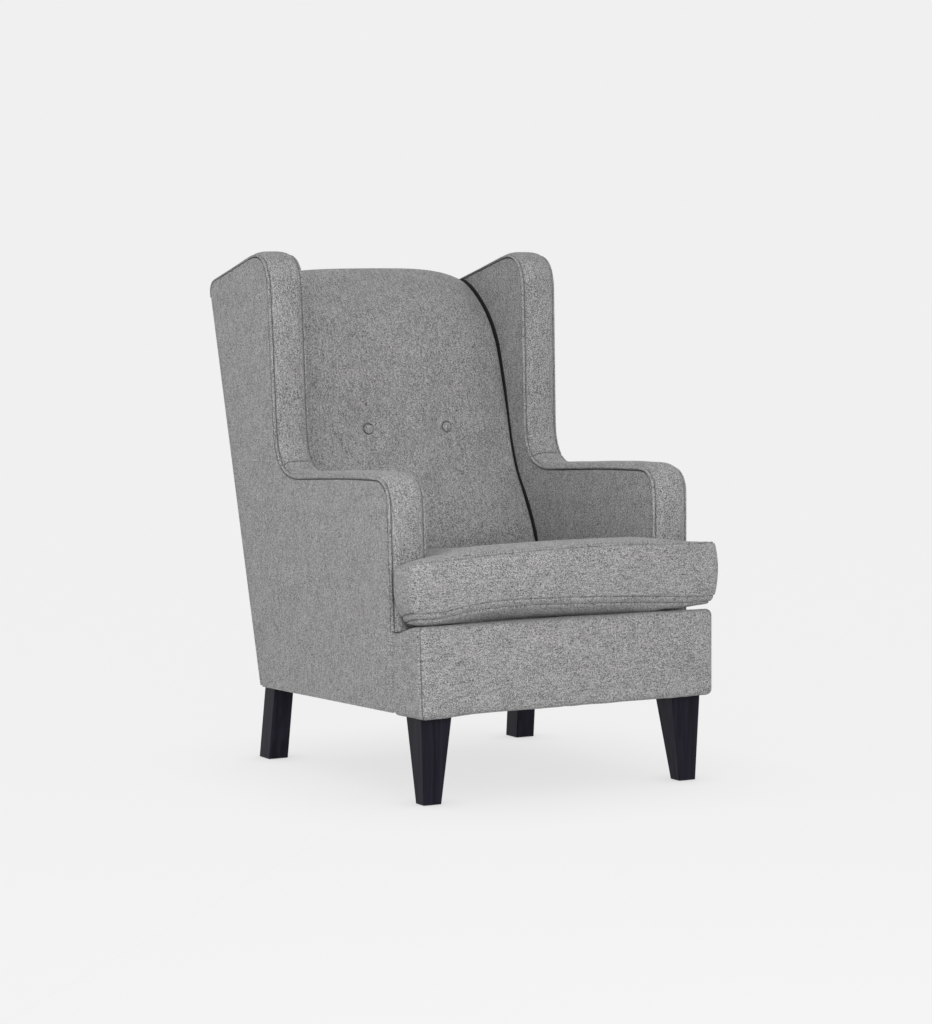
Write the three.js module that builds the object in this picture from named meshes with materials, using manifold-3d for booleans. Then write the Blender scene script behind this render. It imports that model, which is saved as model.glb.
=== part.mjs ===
// A wing chair: a hardwood frame with springs and webbing, upholstered sides, wings and back,
// a loose seat cushion in the shape of a T, and four dark tapered legs.
// Lengths are in millimetres, Z is up, and the chair faces -Y. Left and right are the sitter's.

import * as THREE from "three";
import { mergeVertices } from "three/addons/utils/BufferGeometryUtils.js";
import Module from "manifold-3d";

// Overall sizes of the upholstered body, before it is tapered and leaned back
const bodyWidth = 714;
const sideThickness = 81;
const sideDepth = 617;
const armHeight = 453;
const wingHeight = 935;
const wingFall = 74;
const wingSetback = 507;
const frontClearance = 178.3;
const bodyPitch = THREE.MathUtils.degToRad(1.9);
const backRake = THREE.MathUtils.degToRad(12.67);
const wingLean = THREE.MathUtils.degToRad(1.2);

// How far each side draws in at its bottom edge, and at its back
const bottomTuck = 14.5;
const rearTuck = 8;

// Rounding of the side's outline
const armCorner = 52;
const hollowCorner = 75;
const wingCorner = 90;
const rearCorner = 30;
const cornerSteps = 6;

// Upholstery
const clearance = 0.3;
const bandCrown = 16;
const bandEdge = 3;
const crownPower = 2.4;
const crownPoints = 8;
const topThinning = 0.65;
const rearThinning = 0.75;
const outerPanelThickness = 12;
const innerPanelThickness = 20;
const outsideBackThickness = 8;
const deckThickness = 50;
const apronDepth = 111;
const apronPadding = 16.7;
const apronDrop = 5;
const apronCorner = 20;
const dustCoverThickness = 1.2;

// Hardwood frame
const railThickness = 30;
const railHeight = 116;
const frameInset = 12;
const postDepth = 50;
const armRailHeight = 40;
const backPostDepth = 45;
const blockWidth = 80;
const blockHeight = 64;
const crestRailHeight = 60;
const crestRailDrop = 20;
const lowerRailHeight = 50;
const lowerRailLift = 20;
const wingBoardThickness = 25;

// Springs and webbing
const springWire = 3.6;
const springSwing = 22;
const springWaves = 7;
const springCount = 4;
const springBearing = 20;
const strapWidth = 60;
const strapThickness = 2.5;
const strapCount = 4;

// Back pad
const padSideGap = 5;
const padCrown = 18;
const padDrop = 41;
const padDepth = 212;
const padShoulder = 30;
const padFullShare = 0.25;
const padFadeShare = 0.2;
const padCornerPower = 5;
const tuftDepth = 12;
const tuftReach = 36;
const buttonSink = 2;

// Buttons on the back pad
const buttonSpacing = 192;
const buttonHeight = 543;
const buttonDiameter = 22;
const buttonRim = 3;
const buttonDome = 4;
const domeShares = [0.75, 0.7];
const buttonShank = 30;
const shankDiameter = 3.2;

// Loose seat cushion
const cushionBoxing = 107;
const cushionTopCrown = 20;
const cushionFall = 24;
const cushionBottomCrown = 28;
const cushionSideGap = 6;
const cushionEarWidth = 721;
const cushionOverhang = 7;
const cushionBow = 13;
const cushionRear = 430;
const cushionEdgeRun = 190;
const cushionBottomRun = 60;
const cushionRuns = 7;
const cushionColumnShares = [-1, -0.96, -0.88, -0.75, -0.6, -0.4, -0.2, 0, 0.2, 0.4, 0.6, 0.75, 0.88, 0.96, 1];
const boxingShares = [[0.12, 0.6], [0.5, 1], [0.88, 0.6]];
const earCorner = 26;
const rearCushionCorner = 40;
const boxingBulge = 4;

// Zip in the back boxing of the cushion
const zipEndGap = 20;
const zipHeight = 26;
const zipThickness = 1.6;
const sliderEndGap = 4;
const sliderLength = 14;
const sliderHeight = 9;
const sliderThickness = 4;
const pullLength = 24;
const pullHeight = 6;
const pullThickness = 1.5;

// Front legs, tapered
const frontLegWidth = 69;
const frontLegDepth = 66;
const frontFootWidth = 40;
const frontFootDepth = 34;
const frontLegSideInset = 17.5;
const frontLegInset = 28;
const frontFootDrawOut = 7;
const frontFootDrawFront = 4;

// Back legs, raked
const rearLegWidth = 45;
const rearLegDepth = 49;
const rearLegSideInset = 10;
const rearLegInset = 3;
const rearLegSplay = 4.5;
const rearLegRake = 21;

// Leg fixings
const legArris = 2;
const boltDiameter = 8;
const boltInBlock = 42;
const boltInLeg = 38;
const boltClearance = 0.4;
const glideDiameter = 24;
const glideProud = 1.2;
const glideShankDiameter = 4;
const glideShank = 14;

// Levels and faces that follow from the sizes above
const half = bodyWidth / 2;
const innerFace = half - sideThickness;
const frameOut = half - outerPanelThickness - clearance;
const frameIn = innerFace + innerPanelThickness + clearance;
const dustCoverTop = clearance + dustCoverThickness;
const railBottom = dustCoverTop + clearance;
const railTop = railBottom + railHeight;
const springLevel = railTop + clearance + springWire / 2;
const deckBottom = springLevel + springWire / 2 + clearance;
const deckTop = deckBottom + deckThickness;
const frontRailFront = -apronDepth + apronPadding + clearance;
const frontRailBack = frontRailFront + railThickness;
const postFrontDepth = outsideBackThickness + clearance + backPostDepth;
const railBack = sideDepth - (outsideBackThickness + clearance) / Math.cos(backRake);
const rearBlockFront = railBack - blockHeight;
const sideRailIn = frameOut - railThickness;
const wingRearHeight = wingHeight - wingFall;
const padTop = wingHeight - padDrop;
const backRailsTop = wingRearHeight - rearCorner;
const crestTop = backRailsTop - crestRailDrop;
const padBottom = deckTop + clearance;

// The Y of a plane that lies a given depth in front of the raked back face, at height z
function rakedY(depth, z) {
  return sideDepth + z * Math.tan(backRake) - depth / Math.cos(backRake);
}

// The Y of the wing's front edge at height z
function wingFrontY(z) {
  return wingSetback + (z - armHeight) * Math.tan(wingLean);
}

// Materials
function finish(color, roughness, metalness = 0) {
  return new THREE.MeshStandardMaterial({ color, roughness, metalness });
}
const fabric = finish(0x8e8d8d, 0.95);
const hardwood = finish(0xb58f62, 0.7);
const steel = finish(0x9a9da1, 0.35, 1);
const webbing = finish(0x3a3a3c, 0.9);
const darkWood = finish(0x18151c, 0.42);
const nylon = finish(0x202022, 0.5);

// A closed solid from points and triangles, turned to face outwards
function solid(points, triangles) {
  let volume = 0;
  for (const [a, b, c] of triangles) {
    volume += points[a].dot(points[b].clone().cross(points[c]));
  }
  const order = volume < 0 ? triangles.map(([a, b, c]) => [a, c, b]) : triangles;
  const geometry = new THREE.BufferGeometry().setFromPoints(points);
  geometry.setIndex(order.flat());
  return geometry;
}

// Adds the quads between two closed loops of point numbers
function bridge(triangles, first, second) {
  first.forEach((a, i) => {
    const j = (i + 1) % first.length;
    triangles.push([a, first[j], second[j]]);
    triangles.push([a, second[j], second[i]]);
  });
}

// The ring's points on the coordinate plane that it lies nearest to
function flattened(ring) {
  const normal = new THREE.Vector3();
  ring.forEach((p, i) => normal.add(p.clone().cross(ring[(i + 1) % ring.length])));
  const [x, y, z] = normal.toArray().map(Math.abs);
  if (x >= y && x >= z) return ring.map((p) => new THREE.Vector2(p.y, p.z));
  if (y >= z) return ring.map((p) => new THREE.Vector2(p.z, p.x));
  return ring.map((p) => new THREE.Vector2(p.x, p.y));
}

// Closes a ring, with its triangles turned the way that the ring runs, or the other way
function cap(triangles, ring, loop, sameWay) {
  const flat = flattened(ring);
  const faces = THREE.ShapeUtils.triangulateShape(flat, []);
  const covered = faces.reduce((sum, face) => sum + THREE.ShapeUtils.area(face.map((i) => flat[i])), 0);
  const keep = (Math.sign(covered) === Math.sign(THREE.ShapeUtils.area(flat))) === sameWay;
  for (const [i, j, k] of faces) {
    triangles.push(keep ? [loop[i], loop[j], loop[k]] : [loop[i], loop[k], loop[j]]);
  }
}

// A solid through a row of closed rings
function loft(rings) {
  const count = rings[0].length;
  const loops = rings.map((ring, k) => ring.map((p, i) => k * count + i));
  const triangles = [];
  for (let k = 1; k < loops.length; k++) bridge(triangles, loops[k - 1], loops[k]);
  cap(triangles, rings[0], loops[0], false);
  cap(triangles, rings[rings.length - 1], loops[loops.length - 1], true);
  return solid(rings.flat(), triangles);
}

// A solid between two grids of points that share their rows and columns, joined round
// their borders through any rings that are given
function gridSolid(front, back, ringsOf = () => []) {
  const rows = front.length;
  const columns = front[0].length;
  const points = [...front.flat(), ...back.flat()];
  const at = (side, r, c) => side * rows * columns + r * columns + c;
  const triangles = [];
  for (let r = 1; r < rows; r++) {
    for (let c = 1; c < columns; c++) {
      for (const side of [0, 1]) {
        const quad = [at(side, r - 1, c - 1), at(side, r - 1, c), at(side, r, c), at(side, r, c - 1)];
        const [p, q, s, t] = side ? quad.reverse() : quad;
        triangles.push([p, q, s], [p, s, t]);
      }
    }
  }
  const border = (side) => {
    const loop = [];
    for (let c = 0; c < columns - 1; c++) loop.push(at(side, 0, c));
    for (let r = 0; r < rows - 1; r++) loop.push(at(side, r, columns - 1));
    for (let c = columns - 1; c > 0; c--) loop.push(at(side, rows - 1, c));
    for (let r = rows - 1; r > 0; r--) loop.push(at(side, r, 0));
    return loop;
  };
  const loops = [border(0)];
  for (const ring of ringsOf(border(0).map((i) => points[i]), border(1).map((i) => points[i]))) {
    loops.push(ring.map((p, i) => points.length + i));
    points.push(...ring);
  }
  loops.push(border(1));
  for (let k = 1; k < loops.length; k++) bridge(triangles, loops[k], loops[k - 1]);
  return solid(points, triangles);
}

// A box from its limits along X, Y and Z
function box([x0, x1], [y0, y1], [z0, z1]) {
  const geometry = new THREE.BoxGeometry(x1 - x0, y1 - y0, z1 - z0);
  return geometry.translate((x0 + x1) / 2, (y0 + y1) / 2, (z0 + z1) / 2);
}

// A plate with an outline in the YZ plane, reaching from x0 to x1
function plate(outline, x0, x1) {
  const shape = new THREE.Shape(outline);
  const geometry = new THREE.ExtrudeGeometry(shape, { depth: x1 - x0, bevelEnabled: false });
  const turned = new THREE.Matrix4().makeBasis(
    new THREE.Vector3(0, 1, 0),
    new THREE.Vector3(0, 0, 1),
    new THREE.Vector3(1, 0, 0),
  );
  return geometry.applyMatrix4(turned).translate(x0, 0, 0);
}

// A bar that follows the rake of the back, between two depths and two heights
function rakedBar([x0, x1], [near, far], [z0, z1]) {
  const outline = [[near, z0], [near, z1], [far, z1], [far, z0]];
  return plate(outline.map(([depth, z]) => new THREE.Vector2(rakedY(depth, z), z)), x0, x1);
}

// A turned piece whose profile runs up its own Z axis
function turned(profile, sides) {
  const points = profile.map(([radius, z]) => new THREE.Vector2(radius, z));
  return new THREE.LatheGeometry(points, sides).rotateX(Math.PI / 2);
}

// Cutting and joining of closed meshes
const wasm = await Module();
wasm.setup();

function manifoldOf(geometry) {
  const bare = geometry.clone();
  bare.deleteAttribute("normal");
  bare.deleteAttribute("uv");
  const merged = mergeVertices(bare);
  const vertProperties = merged.attributes.position.array;
  const triVerts = new Uint32Array(merged.index.array);
  return new wasm.Manifold(new wasm.Mesh({ numProp: 3, vertProperties, triVerts }));
}

function geometryOf(made) {
  const mesh = made.getMesh();
  const geometry = new THREE.BufferGeometry();
  geometry.setAttribute("position", new THREE.BufferAttribute(mesh.vertProperties, mesh.numProp));
  return geometry.setIndex(new THREE.BufferAttribute(mesh.triVerts, 1));
}

function cut(geometry, ...tools) {
  return geometryOf(tools.reduce((made, tool) => made.subtract(manifoldOf(tool)), manifoldOf(geometry)));
}

function join(geometry, ...others) {
  return geometryOf(others.reduce((made, other) => made.add(manifoldOf(other)), manifoldOf(geometry)));
}

// Draws a piece of the body in towards its middle, more so low down and at the back.
// Flat faces stay flat, so neighbours keep their clearance.
function taper(geometry) {
  const place = geometry.getAttribute("position");
  for (let i = 0; i < place.count; i++) {
    const low = 1 - place.getZ(i) / wingHeight;
    const rear = place.getY(i) / sideDepth;
    place.setX(i, place.getX(i) * (1 - (bottomTuck * low + rearTuck * rear) / half));
  }
  return geometry;
}

// The same piece for the sitter's other side
function mirrored(geometry) {
  const copy = geometry.index ? geometry.clone() : mergeVertices(geometry);
  copy.scale(-1, 1, 1);
  const index = copy.index.array;
  for (let i = 0; i < index.length; i += 3) {
    [index[i + 1], index[i + 2]] = [index[i + 2], index[i + 1]];
  }
  return copy;
}

const chair = new THREE.Group();
const body = new THREE.Group();
body.rotation.x = -bodyPitch;
body.position.z = frontClearance;
chair.add(body);

function add(name, geometry, material, group = body) {
  const mesh = new THREE.Mesh(geometry, material);
  mesh.name = name;
  group.add(mesh);
}

function addPair(name, geometry, material, group = body) {
  add(name + "_left", geometry, material, group);
  add(name + "_right", mirrored(geometry), material, group);
}

// Rounds the corners of an outline: each corner is [y, z, trim], and a trim of zero stays sharp
function rounded(corners, steps) {
  return corners.map(([y, z, trim], i) => {
    const here = new THREE.Vector2(y, z);
    const last = corners[(i + corners.length - 1) % corners.length];
    const next = corners[(i + 1) % corners.length];
    if (!trim) return [here];
    const from = new THREE.Vector2(last[0], last[1]).sub(here).setLength(trim).add(here);
    const to = new THREE.Vector2(next[0], next[1]).sub(here).setLength(trim).add(here);
    return new THREE.QuadraticBezierCurve(from, here, to).getPoints(steps);
  });
}

// The side's outline where the band is sewn to the panels, corner by corner from the front foot
function sideCorners() {
  return rounded(
    [
      [0, 0, 0],
      [0, armHeight, armCorner],
      [wingFrontY(armHeight), armHeight, hollowCorner],
      [wingFrontY(wingHeight), wingHeight, wingCorner],
      [rakedY(0, wingRearHeight), wingRearHeight, rearCorner],
      [sideDepth, 0, 0],
    ],
    cornerSteps,
  );
}

// The outward direction, in the YZ plane, at each point of an open path that runs up the
// front, along the top and down the back
function outward(path) {
  return path.map((p, i) => {
    const before = path[Math.max(i - 1, 0)];
    const after = path[Math.min(i + 1, path.length - 1)];
    const along = after.clone().sub(before).normalize();
    return new THREE.Vector2(-along.y, along.x);
  });
}

function offsetPath(path, distance) {
  const out = outward(path);
  return path.map((p, i) => p.clone().addScaledVector(out[i], distance));
}

// The seam path over arm and wing, from the top of the apron round to the back of the wing
function seamPath() {
  const [, arm, hollow, wing, rear] = sideCorners();
  const share = (p, corner) => corner.indexOf(p) / (corner.length - 1);
  const full = (p) => {
    if (!rear.includes(p)) return 1 - topThinning * Math.max(0, share(p, wing));
    return 1 - topThinning - (rearThinning - topThinning) * share(p, rear);
  };
  const points = [new THREE.Vector2(0, deckTop + clearance), ...arm, ...hollow, ...wing, ...rear];
  const join = points.indexOf(hollow[3]);
  const fullness = points.map(full);
  const last = points[points.length - 1];
  points[points.length - 1] = last.clone().setY(last.y + clearance);
  return { points, join, fullness, out: outward(points) };
}

// A padded band sewn over the edge of a side: flat below, crowned above. It runs between two
// points of the seam path, and its first ring may start a little further along.
function band(first, last, start) {
  const { points, out, fullness } = seamPath();
  const rings = [];
  for (let i = first; i <= last; i++) {
    const along = new THREE.Vector2(out[i].y, -out[i].x).multiplyScalar(i === first ? start : 0);
    const foot = points[i].clone().add(along);
    const ring = [];
    const place = (x, rise) => {
      const q = foot.clone().addScaledVector(out[i], rise);
      ring.push(new THREE.Vector3(x, q.x, q.y));
    };
    place(innerFace, -bandEdge);
    for (let k = 0; k <= crownPoints; k++) {
      const across = k / crownPoints;
      const rise = bandCrown * fullness[i] * (1 - Math.abs(2 * across - 1) ** crownPower);
      place(innerFace + sideThickness * across, rise);
    }
    place(half, -bandEdge);
    rings.push(ring);
  }
  return loft(rings);
}

function armBand() {
  return band(0, seamPath().join, 0);
}

function wingBand() {
  const { points, join } = seamPath();
  return band(join, points.length - 1, clearance);
}

// The outline of a flat piece inside the side: the seam path drawn in, closed by a raked
// back edge at a depth and by a level bottom edge
function sideOutline(drawIn, rearDepth, bottom) {
  const [, arm, hollow, wing, rear] = sideCorners();
  const foot = new THREE.Vector2(0, bottom);
  const path = offsetPath([foot, ...arm, ...hollow, ...wing, ...rear], -drawIn);
  const past = (p) => p.x - rakedY(rearDepth, p.y);
  const inside = path.filter((p) => past(p) <= 0);
  const last = inside[inside.length - 1];
  const next = path[inside.length];
  const crossing = last.clone().lerp(next, past(last) / (past(last) - past(next)));
  inside[0].y = bottom;
  return [...inside, crossing, new THREE.Vector2(rakedY(rearDepth, bottom), bottom)];
}

function outerPanel() {
  const outline = sideOutline(bandEdge + clearance, outsideBackThickness + clearance, 0);
  return plate(outline, half - outerPanelThickness, half);
}

function innerPanel() {
  const outline = sideOutline(bandEdge + clearance, postFrontDepth + clearance, deckBottom);
  return plate(outline, innerFace, innerFace + innerPanelThickness);
}

// Plywood inside the wing, from the arm rail up
function wingBoard() {
  const outline = sideOutline(frameInset, postFrontDepth + clearance, 0);
  const floor = armHeight - frameInset + clearance;
  const keep = outline.filter((p) => p.y > armHeight && p.x > wingSetback);
  const front = wingFrontY(armHeight) + frameInset;
  const rear = rakedY(postFrontDepth + clearance, floor);
  const low = [new THREE.Vector2(rear, floor), new THREE.Vector2(front, floor)];
  return plate([...keep, ...low], frameIn, frameIn + wingBoardThickness);
}

function frontPost() {
  const top = armHeight - frameInset - armRailHeight - clearance;
  return box([frameIn, frameOut], [frameInset, frameInset + postDepth], [railTop + clearance, top]);
}

function armRail() {
  const top = armHeight - frameInset;
  const bottom = top - armRailHeight;
  const front = armCorner / 2;
  const depth = postFrontDepth + clearance;
  const outline = [
    new THREE.Vector2(front, bottom),
    new THREE.Vector2(rakedY(depth, bottom), bottom),
    new THREE.Vector2(rakedY(depth, top), top),
    new THREE.Vector2(front, top),
  ];
  return plate(outline, frameIn, frameOut);
}

function backPost() {
  const depths = [postFrontDepth, outsideBackThickness + clearance];
  return rakedBar([frameIn, frameOut], depths, [railTop + clearance, backRailsTop - frameInset]);
}

// Seat frame
function frontRail() {
  return box([-frameOut, frameOut], [frontRailFront, frontRailBack], [railBottom, railTop]);
}

function sideRail() {
  const reach = [frontRailBack + clearance, rearBlockFront - clearance];
  return box([sideRailIn, frameOut], reach, [railBottom, railTop]);
}

function backRail() {
  const reach = frameOut - blockWidth - clearance;
  return box([-reach, reach], [railBack - railThickness, railBack], [railBottom, railTop]);
}

// Front legs: the top's limits, on the underside of the body
const frontLegOut = half - bottomTuck - frontLegSideInset;
const frontLegFront = -apronDepth + frontLegInset;
const frontLegTop = [
  [frontLegOut - frontLegWidth, frontLegOut],
  [frontLegFront, frontLegFront + frontLegDepth],
];
const frontBolt = [frontLegOut - frontLegWidth / 2, frontRailBack + clearance + frontLegDepth / 4];

// Back legs: the top's limits, on the underside of the body
const rearLegOut = half - bottomTuck - rearTuck - rearLegSideInset;
const rearLegBack = sideDepth - rearLegInset;
const rearLegTop = [
  [rearLegOut - rearLegWidth, rearLegOut],
  [rearLegBack - rearLegDepth, rearLegBack],
];
const rearBolt = [rearLegOut - rearLegWidth / 2, rearLegBack - rearLegDepth / 2];

// A straight bore or bolt along the body's own Z axis
function rod([x, y], diameter, [z0, z1], sides = 16) {
  return turned([[0, z0], [diameter / 2, z0], [diameter / 2, z1], [0, z1]], sides).translate(x, y, 0);
}

function cornerBlock(reachX, reachY, reachZ, bolt) {
  const block = taper(box(reachX, reachY, reachZ));
  const bore = rod(bolt, boltDiameter + 2 * boltClearance, [0, boltInBlock + boltClearance]);
  return cut(block, bore);
}

function frontBlock() {
  const inside = sideRailIn - clearance;
  const start = frontRailBack + clearance;
  return cornerBlock([inside - blockWidth, inside], [start, start + blockWidth], [railBottom, blockHeight], frontBolt);
}

function rearBlock() {
  return cornerBlock([frameOut - blockWidth, frameOut], [rearBlockFront, railBack], [railBottom, railTop], rearBolt);
}

function crestRail() {
  const reach = frameIn - clearance;
  const depths = [postFrontDepth, outsideBackThickness + clearance];
  return rakedBar([-reach, reach], depths, [crestTop - crestRailHeight, crestTop]);
}

function lowerBackRail() {
  const bottom = deckTop + lowerRailLift;
  const reach = frameIn - clearance;
  const depths = [postFrontDepth, outsideBackThickness + clearance];
  return rakedBar([-reach, reach], depths, [bottom, bottom + lowerRailHeight]);
}

// Zigzag springs run from the front rail to the back rail
class Zigzag extends THREE.Curve {
  constructor(x, y0, y1, z) {
    super();
    Object.assign(this, { x, y0, y1, z });
  }

  getPoint(t, target = new THREE.Vector3()) {
    const swing = springSwing * Math.sin(2 * Math.PI * springWaves * t);
    return target.set(this.x + swing, this.y0 + (this.y1 - this.y0) * t, this.z);
  }
}

function seatSpring(x) {
  const path = new Zigzag(x, frontRailBack - springBearing, railBack - railThickness + springBearing, springLevel);
  const section = new THREE.Shape();
  section.absarc(0, 0, springWire / 2, 0, 2 * Math.PI);
  return new THREE.ExtrudeGeometry(section, { steps: 8 * springWaves, curveSegments: 3, extrudePath: path });
}

function backStrap(x) {
  const near = postFrontDepth + clearance;
  const bottom = deckTop + lowerRailLift;
  return rakedBar([x - strapWidth / 2, x + strapWidth / 2], [near + strapThickness, near], [bottom, crestTop]);
}

function outsideBack() {
  return rakedBar([-half, half], [outsideBackThickness, 0], [0, backRailsTop]);
}

// The padded front edge under the cushion, wrapped round the front rail
function apron() {
  const reach = half - bandEdge;
  const rear = bandEdge - clearance;
  const shape = new THREE.Shape();
  shape.moveTo(-reach, rear);
  shape.lineTo(-reach, -apronDepth + apronCorner);
  shape.quadraticCurveTo(-reach, -apronDepth, -reach + apronCorner, -apronDepth);
  shape.lineTo(reach - apronCorner, -apronDepth);
  shape.quadraticCurveTo(reach, -apronDepth, reach, -apronDepth + apronCorner);
  shape.lineTo(reach, rear);
  const edge = apronCorner / 2;
  const whole = new THREE.ExtrudeGeometry(shape, {
    depth: deckTop + apronDrop - 2 * edge,
    bevelThickness: edge,
    bevelSize: edge,
    bevelOffset: -edge,
    bevelSegments: 3,
    curveSegments: 6,
  });
  whole.translate(0, 0, edge - apronDrop);
  const inside = frameOut + clearance;
  const hollow = box(
    [-inside, inside],
    [frontRailFront - clearance, apronDepth],
    [-2 * apronDrop, deckBottom],
  );
  const behind = box([-bodyWidth, bodyWidth], [rear, apronDepth], [-2 * apronDrop, deckTop + apronDrop]);
  return cut(whole, hollow, behind);
}

function seatDeck() {
  const reach = innerFace - clearance;
  const depth = postFrontDepth + strapThickness + 2 * clearance;
  const outline = [
    new THREE.Vector2(bandEdge, deckBottom),
    new THREE.Vector2(rakedY(depth, deckBottom), deckBottom),
    new THREE.Vector2(rakedY(depth, deckBottom), deckTop),
    new THREE.Vector2(bandEdge, deckTop),
  ];
  return plate(outline, -reach, reach);
}

function dustCover() {
  const sheet = taper(
    box([-frameOut, frameOut], [frontRailFront, railBack], [clearance, dustCoverTop]),
  );
  const hole = boltDiameter + 2 * boltClearance;
  const holes = [frontBolt, rearBolt].flatMap(([x, y]) =>
    [-x, x].map((side) => rod([side, y], hole, [-dustCoverTop, 2 * dustCoverTop])),
  );
  return cut(sheet, ...holes);
}

// The back pad's face at its edges, as shares of the pad's rise and of its depth: first up the
// face, then over the roll at the top
const padFaceShares = [
  [0, 0.99], [0.07, 0.995], [0.12, 1.01], [0.175, 1.045], [0.24, 1], [0.31, 0.925], [0.38, 0.85],
  [0.46, 0.82], [0.54, 0.815], [0.66, 0.81], [0.74, 0.79], [0.8, 0.75], [0.867, 0.634], [0.91, 0.53],
  [0.956, 0.379], [0.98, 0.29], [1, 0.2],
];
const padRollShares = [[1.004, 0.12], [0.99, 0.07]];
const padColumnShares = [0, 0.1, 0.2, 0.28, 0.355, 0.43, 0.52, 0.64, 0.76, 0.87, 0.95, 1];
const padRowCount = 25;

const padFace = new THREE.CubicInterpolant(
  padFaceShares.map(([rise]) => rise),
  padFaceShares.map(([, depth]) => depth),
  1,
);

// How deep the pad is, in front of the back face, at a share of its half width and of its rise
function padFaceDepth(u, rise) {
  const fading = Math.min(1, rise / padFullShare, (1 - rise) / padFadeShare);
  const x = u * (innerFace - padSideGap);
  const z = padBottom + rise * (padTop - padBottom);
  const away = Math.hypot(Math.abs(x) - buttonSpacing / 2, z - buttonHeight) / tuftReach;
  const crown = padCrown * (1 - u * u) * fading;
  return padDepth * padFace.evaluate(rise)[0] + crown - tuftDepth * Math.exp(-away * away);
}

// One upright slice through the back pad: up its back, over the crest rail, and down its face
function padSlice(u) {
  const near = postFrontDepth + strapThickness + 2 * clearance;
  const far = outsideBackThickness + clearance;
  const step = crestTop + clearance;
  const rise = padTop - padBottom - padShoulder * Math.abs(u) ** padCornerPower;
  const slice = [[near, padBottom], [near, step], [far, step]];
  for (const [riseShare, depthShare] of [...padRollShares].reverse()) {
    slice.push([padDepth * depthShare, padBottom + rise * riseShare]);
  }
  for (let i = padRowCount; i >= 0; i--) {
    const share = i / padRowCount;
    slice.push([padFaceDepth(u, share), padBottom + rise * share]);
  }
  const x = u * (innerFace - padSideGap);
  return slice.map(([depth, z]) => new THREE.Vector3(x, rakedY(depth, z), z));
}

function backPad() {
  const shares = [...padColumnShares.slice(1).map((u) => -u).reverse(), ...padColumnShares];
  return cut(loft(shares.map(padSlice)), buttonSeat(-1), buttonSeat(1));
}

// A covered button, whose shank is pulled into the pad and whose face lies square to it
function buttonPlace(side) {
  const u = buttonSpacing / 2 / (innerFace - padSideGap);
  const depth = padFaceDepth(u, (buttonHeight - padBottom) / (padTop - padBottom)) - buttonSink;
  const turn = new THREE.Matrix4().makeRotationX(Math.PI / 2 - backRake);
  const seat = new THREE.Vector3((side * buttonSpacing) / 2, rakedY(depth, buttonHeight), buttonHeight);
  return turn.setPosition(seat);
}

function buttonSeat(side) {
  const radius = buttonDiameter / 2 + clearance;
  const bore = shankDiameter / 2 + clearance;
  const deep = -buttonShank - clearance;
  const profile = [[0, deep], [bore, deep], [bore, 0], [radius, 0], [radius, buttonShank], [0, buttonShank]];
  return turned(profile, 20).applyMatrix4(buttonPlace(side));
}

function button(side) {
  const radius = buttonDiameter / 2;
  const profile = [
    [0, -buttonShank],
    [shankDiameter / 2, -buttonShank],
    [shankDiameter / 2, clearance],
    [radius, clearance],
    [radius, buttonRim],
    [radius * domeShares[0], buttonRim + buttonDome * domeShares[1]],
    [0, buttonRim + buttonDome],
  ];
  return turned(profile, 20).applyMatrix4(buttonPlace(side));
}

// The loose cushion from above: rows of [y, half width] from its front edge to its back. Its
// ears reach out in front of the arms.
const cushionFront = -apronDepth - cushionOverhang;
const cushionEar = cushionEarWidth / 2;
const cushionMain = innerFace - cushionSideGap;
const earRear = -bandCrown - clearance - boxingBulge;
const cushionSide = cushionRear - rearCushionCorner;
const cushionArc = [0, 30, 60, 90].map((angle) => THREE.MathUtils.degToRad(angle));

function cushionRows() {
  const rows = [];
  for (const a of cushionArc) {
    rows.push([cushionFront + earCorner * (1 - Math.cos(a)), cushionEar - earCorner * (1 - Math.sin(a))]);
  }
  for (const a of cushionArc) {
    const back = earRear - boxingBulge;
    rows.push([back - earCorner * (1 - Math.sin(a)), cushionEar - earCorner * (1 - Math.cos(a))]);
  }
  for (let i = 0; i <= cushionRuns; i++) {
    rows.push([earRear + ((cushionSide - earRear) * i) / cushionRuns, cushionMain]);
  }
  for (const a of cushionArc.slice(1)) {
    rows.push([cushionSide + rearCushionCorner * Math.sin(a), cushionMain - rearCushionCorner * (1 - Math.cos(a))]);
  }
  return rows;
}

// How far a point of the plan lies from the cushion's outline
function cushionEdgeDistance(rows, x, y) {
  const point = new THREE.Vector3(Math.abs(x), y, 0);
  const outline = rows.map(([rowY, width]) => new THREE.Vector3(width, rowY, 0));
  outline.unshift(new THREE.Vector3(0, cushionFront, 0));
  outline.push(new THREE.Vector3(0, cushionRear, 0));
  const near = new THREE.Vector3();
  const gaps = outline.slice(1).map((end, i) => {
    new THREE.Line3(outline[i], end).closestPointToPoint(point, true, near);
    return near.distanceTo(point);
  });
  return Math.min(...gaps);
}

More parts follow.
